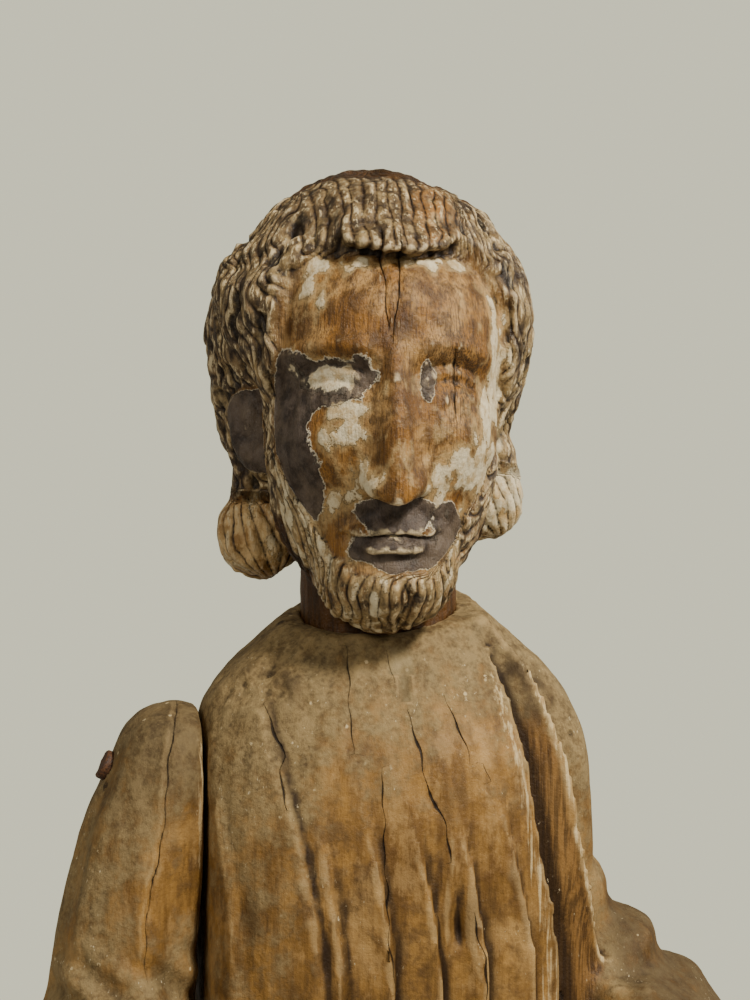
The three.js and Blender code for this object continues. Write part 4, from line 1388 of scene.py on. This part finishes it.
def engrave_arm(skin):
    p = skin.points
    x, y, z = p.T
    # One crack runs down the front of the sleeve from the top of the shoulder.
    line = -97 - 0.22 * (866 - z) + 0.0006 * (866 - z) ** 2 - 1.2 * np.sin(z / 11) + 0.4 * np.sin(z / 2.7)
    offset = (x - line) * 0.95
    run = fade(z, 738, 775) * fade(-y, -5, 5)
    near = run * fall(np.abs(offset), *CRACK_NEAR)
    height = -0.8 * near * bell(offset, 0, 0.9) + 0.5 * run * bell(offset, -2.2, 1.6)
    height += 1.2 * bell(offset, 1, 5) * fade(-z, -790, -760) * fade(-y, -5, 5)
    height += 0.7 * rough(p, (18, 18, 50), 121) + 0.35 * noise(p, (5, 5, 40), 122)
    height += 0.55 * rough(p, (9, 9, 20), 123) + 0.2 * noise(p, (4.5, 4.5, 9), 124)
    # Slanting drag folds where the sleeve bends at the elbow.
    slant = (z + 0.8 * x) / 21
    height += 1.6 * np.sin(2 * np.pi * slant) * fade(-z, -775, -745) * fade(-y, 0, 20)
    skin.engrave(height)
    normals = skin.normals()
    dust = 0.65 + 0.5 * np.clip(normals[:, 2], 0, 1) + 0.3 * fade(z, 800, 860)
    dust -= 0.7 * spot(x, z, -92, 815, 7, 10) + 0.6 * spot(x, z, -108, 785, 10, 12)
    dust += 0.6 * rough(p, (15, 15, 24), 125)
    gesso = -1.0 + 0.7 * rough(p, (6, 6, 11), 131, 2) + 0.25 * run * bell(offset, -2, 1.2)
    gesso += 0.6 * spot(x, z, -112, 770, 6, 12)
    skin.layers["dust"] = dust
    skin.layers["gesso"] = gesso
    skin.layers["filler"] = np.zeros(len(z))
    skin.layers["ridge"] = 0.7 * bell(x, SEAM_X - 3, 2) * fade(-y, -10, 20) * fall(z, 845, 860)
    skin.layers["foot"] = 0.24 + 0.2 * fade(z, 790, 850) - 0.25 * spot(x, z, -105, 790, 8, 14)
    skin.layers["stole"] = np.zeros(len(z))
    skin.layers["crack"] = np.clip(offset, -CRACK_SIDE, CRACK_SIDE)
    skin.layers["gape"] = 0.12 * run * (0.6 + 0.6 * np.sin(z / 7))
    skin.layers["crack_near"] = near
    keep_hollows(skin)


# ---- plinth and peg -------------------------------------------------------------------------


PLINTH_CORNER = 52.0
LOWER_STEP_TOP = 38.0
UPPER_STEP_FOOT = 30.0
UPPER_STEP_INSET = 11.0


def slab_field(p, low, high, inset):
    x, y, z = p.T
    w = PLINTH_HIGH[0] - inset
    d = PLINTH_HIGH[1] - inset
    flat = larger(np.abs(x) - w, np.abs(y) - d, 1)
    slant = (np.abs(x) + np.abs(y) - (w + d - PLINTH_CORNER)) / math.sqrt(2)
    walls = larger(flat, slant, 2)
    return larger(walls, np.maximum(low - z, z - high), 3)


def plinth_field(p):
    lower = slab_field(p, 0, LOWER_STEP_TOP, 0)
    return np.minimum(lower, slab_field(p, UPPER_STEP_FOOT, PLINTH_HIGH[2], UPPER_STEP_INSET))


def engrave_plinth(skin):
    p = skin.points
    upper = fade(p[:, 2], 1.0, 4.0)
    height = upper * (0.5 * rough(p, (60, 14, 14), 141) + 0.3 * noise(p, (50, 5, 5), 142))
    edge = skin.hollowness(6, 1.0)
    chips = fade(-edge, 0.1, 0.6) * fade(rough(p, 16, 143), 0.15, 0.5)
    height -= (2.2 * chips + 0.4) * upper
    skin.engrave(height)
    skin.layers["hollow"] = skin.hollowness(5, 0.8)


def peg_field(p):
    q = p - np.array(PEG_END)
    along = q @ PEG_OUT
    across = q - along[:, None] * PEG_OUT
    ragged = 0.5 * noise(p, 3.0, 151)
    side = np.linalg.norm(across, axis=1) - PEG_RADIUS + 0.3
    ends = np.maximum(along + 0.4 + ragged, -PEG_LENGTH - along)
    return larger(side, ends, 1)


# ---- pieces ---------------------------------------------------------------------------------
EASE = 10.0
HEAD_STEP = 1.3
ARM_STEP = 1.4
PLINTH_STEP = 2.6
PEG_STEP = 0.8


def grid_for(low, high, step):
    return [spaced((low[a] - EASE, high[a] + EASE), (step,)) for a in range(3)]


def make_head():
    skin = Skin(*carve(head_field, *grid_for(HEAD_LOW, HEAD_HIGH, HEAD_STEP)))
    engrave_head(skin)
    skin.build("saint_head", "head", head_material())


def make_body(material):
    # The grid is finest at the front and above the elbows.
    xs = spaced((BODY_LOW[0] - EASE, BODY_HIGH[0] + EASE), (2.3,))
    ys = spaced((BODY_LOW[1] - EASE, 25, BODY_HIGH[1] + EASE), (2.2, 4.6))
    zs = spaced((BODY_LOW[2] - EASE, 130, 690, BODY_HIGH[2] + EASE), (3.8, 7.8, 1.95))
    skin = Skin(*carve(body_field, xs, ys, zs))
    engrave_body(skin)
    skin.build("saint_body", "body", material)


def make_right_arm(material):
    skin = Skin(*carve(right_arm_field, *grid_for(ARM_LOW, ARM_HIGH, ARM_STEP)))
    engrave_arm(skin)
    skin.build("saint_right_arm", "right_arm", material)


def make_plinth():
    skin = Skin(*carve(plinth_field, *grid_for(PLINTH_LOW, PLINTH_HIGH, PLINTH_STEP)))
    engrave_plinth(skin)
    skin.build("saint_plinth", "plinth", plinth_material())


def make_peg():
    skin = Skin(*carve(peg_field, *grid_for(PEG_LOW, PEG_HIGH, PEG_STEP)))
    skin.build("shoulder_peg", "arm_peg", peg_material())


make_head()
robe = robe_material()
make_body(robe)
make_right_arm(robe)
make_plinth()
make_peg()
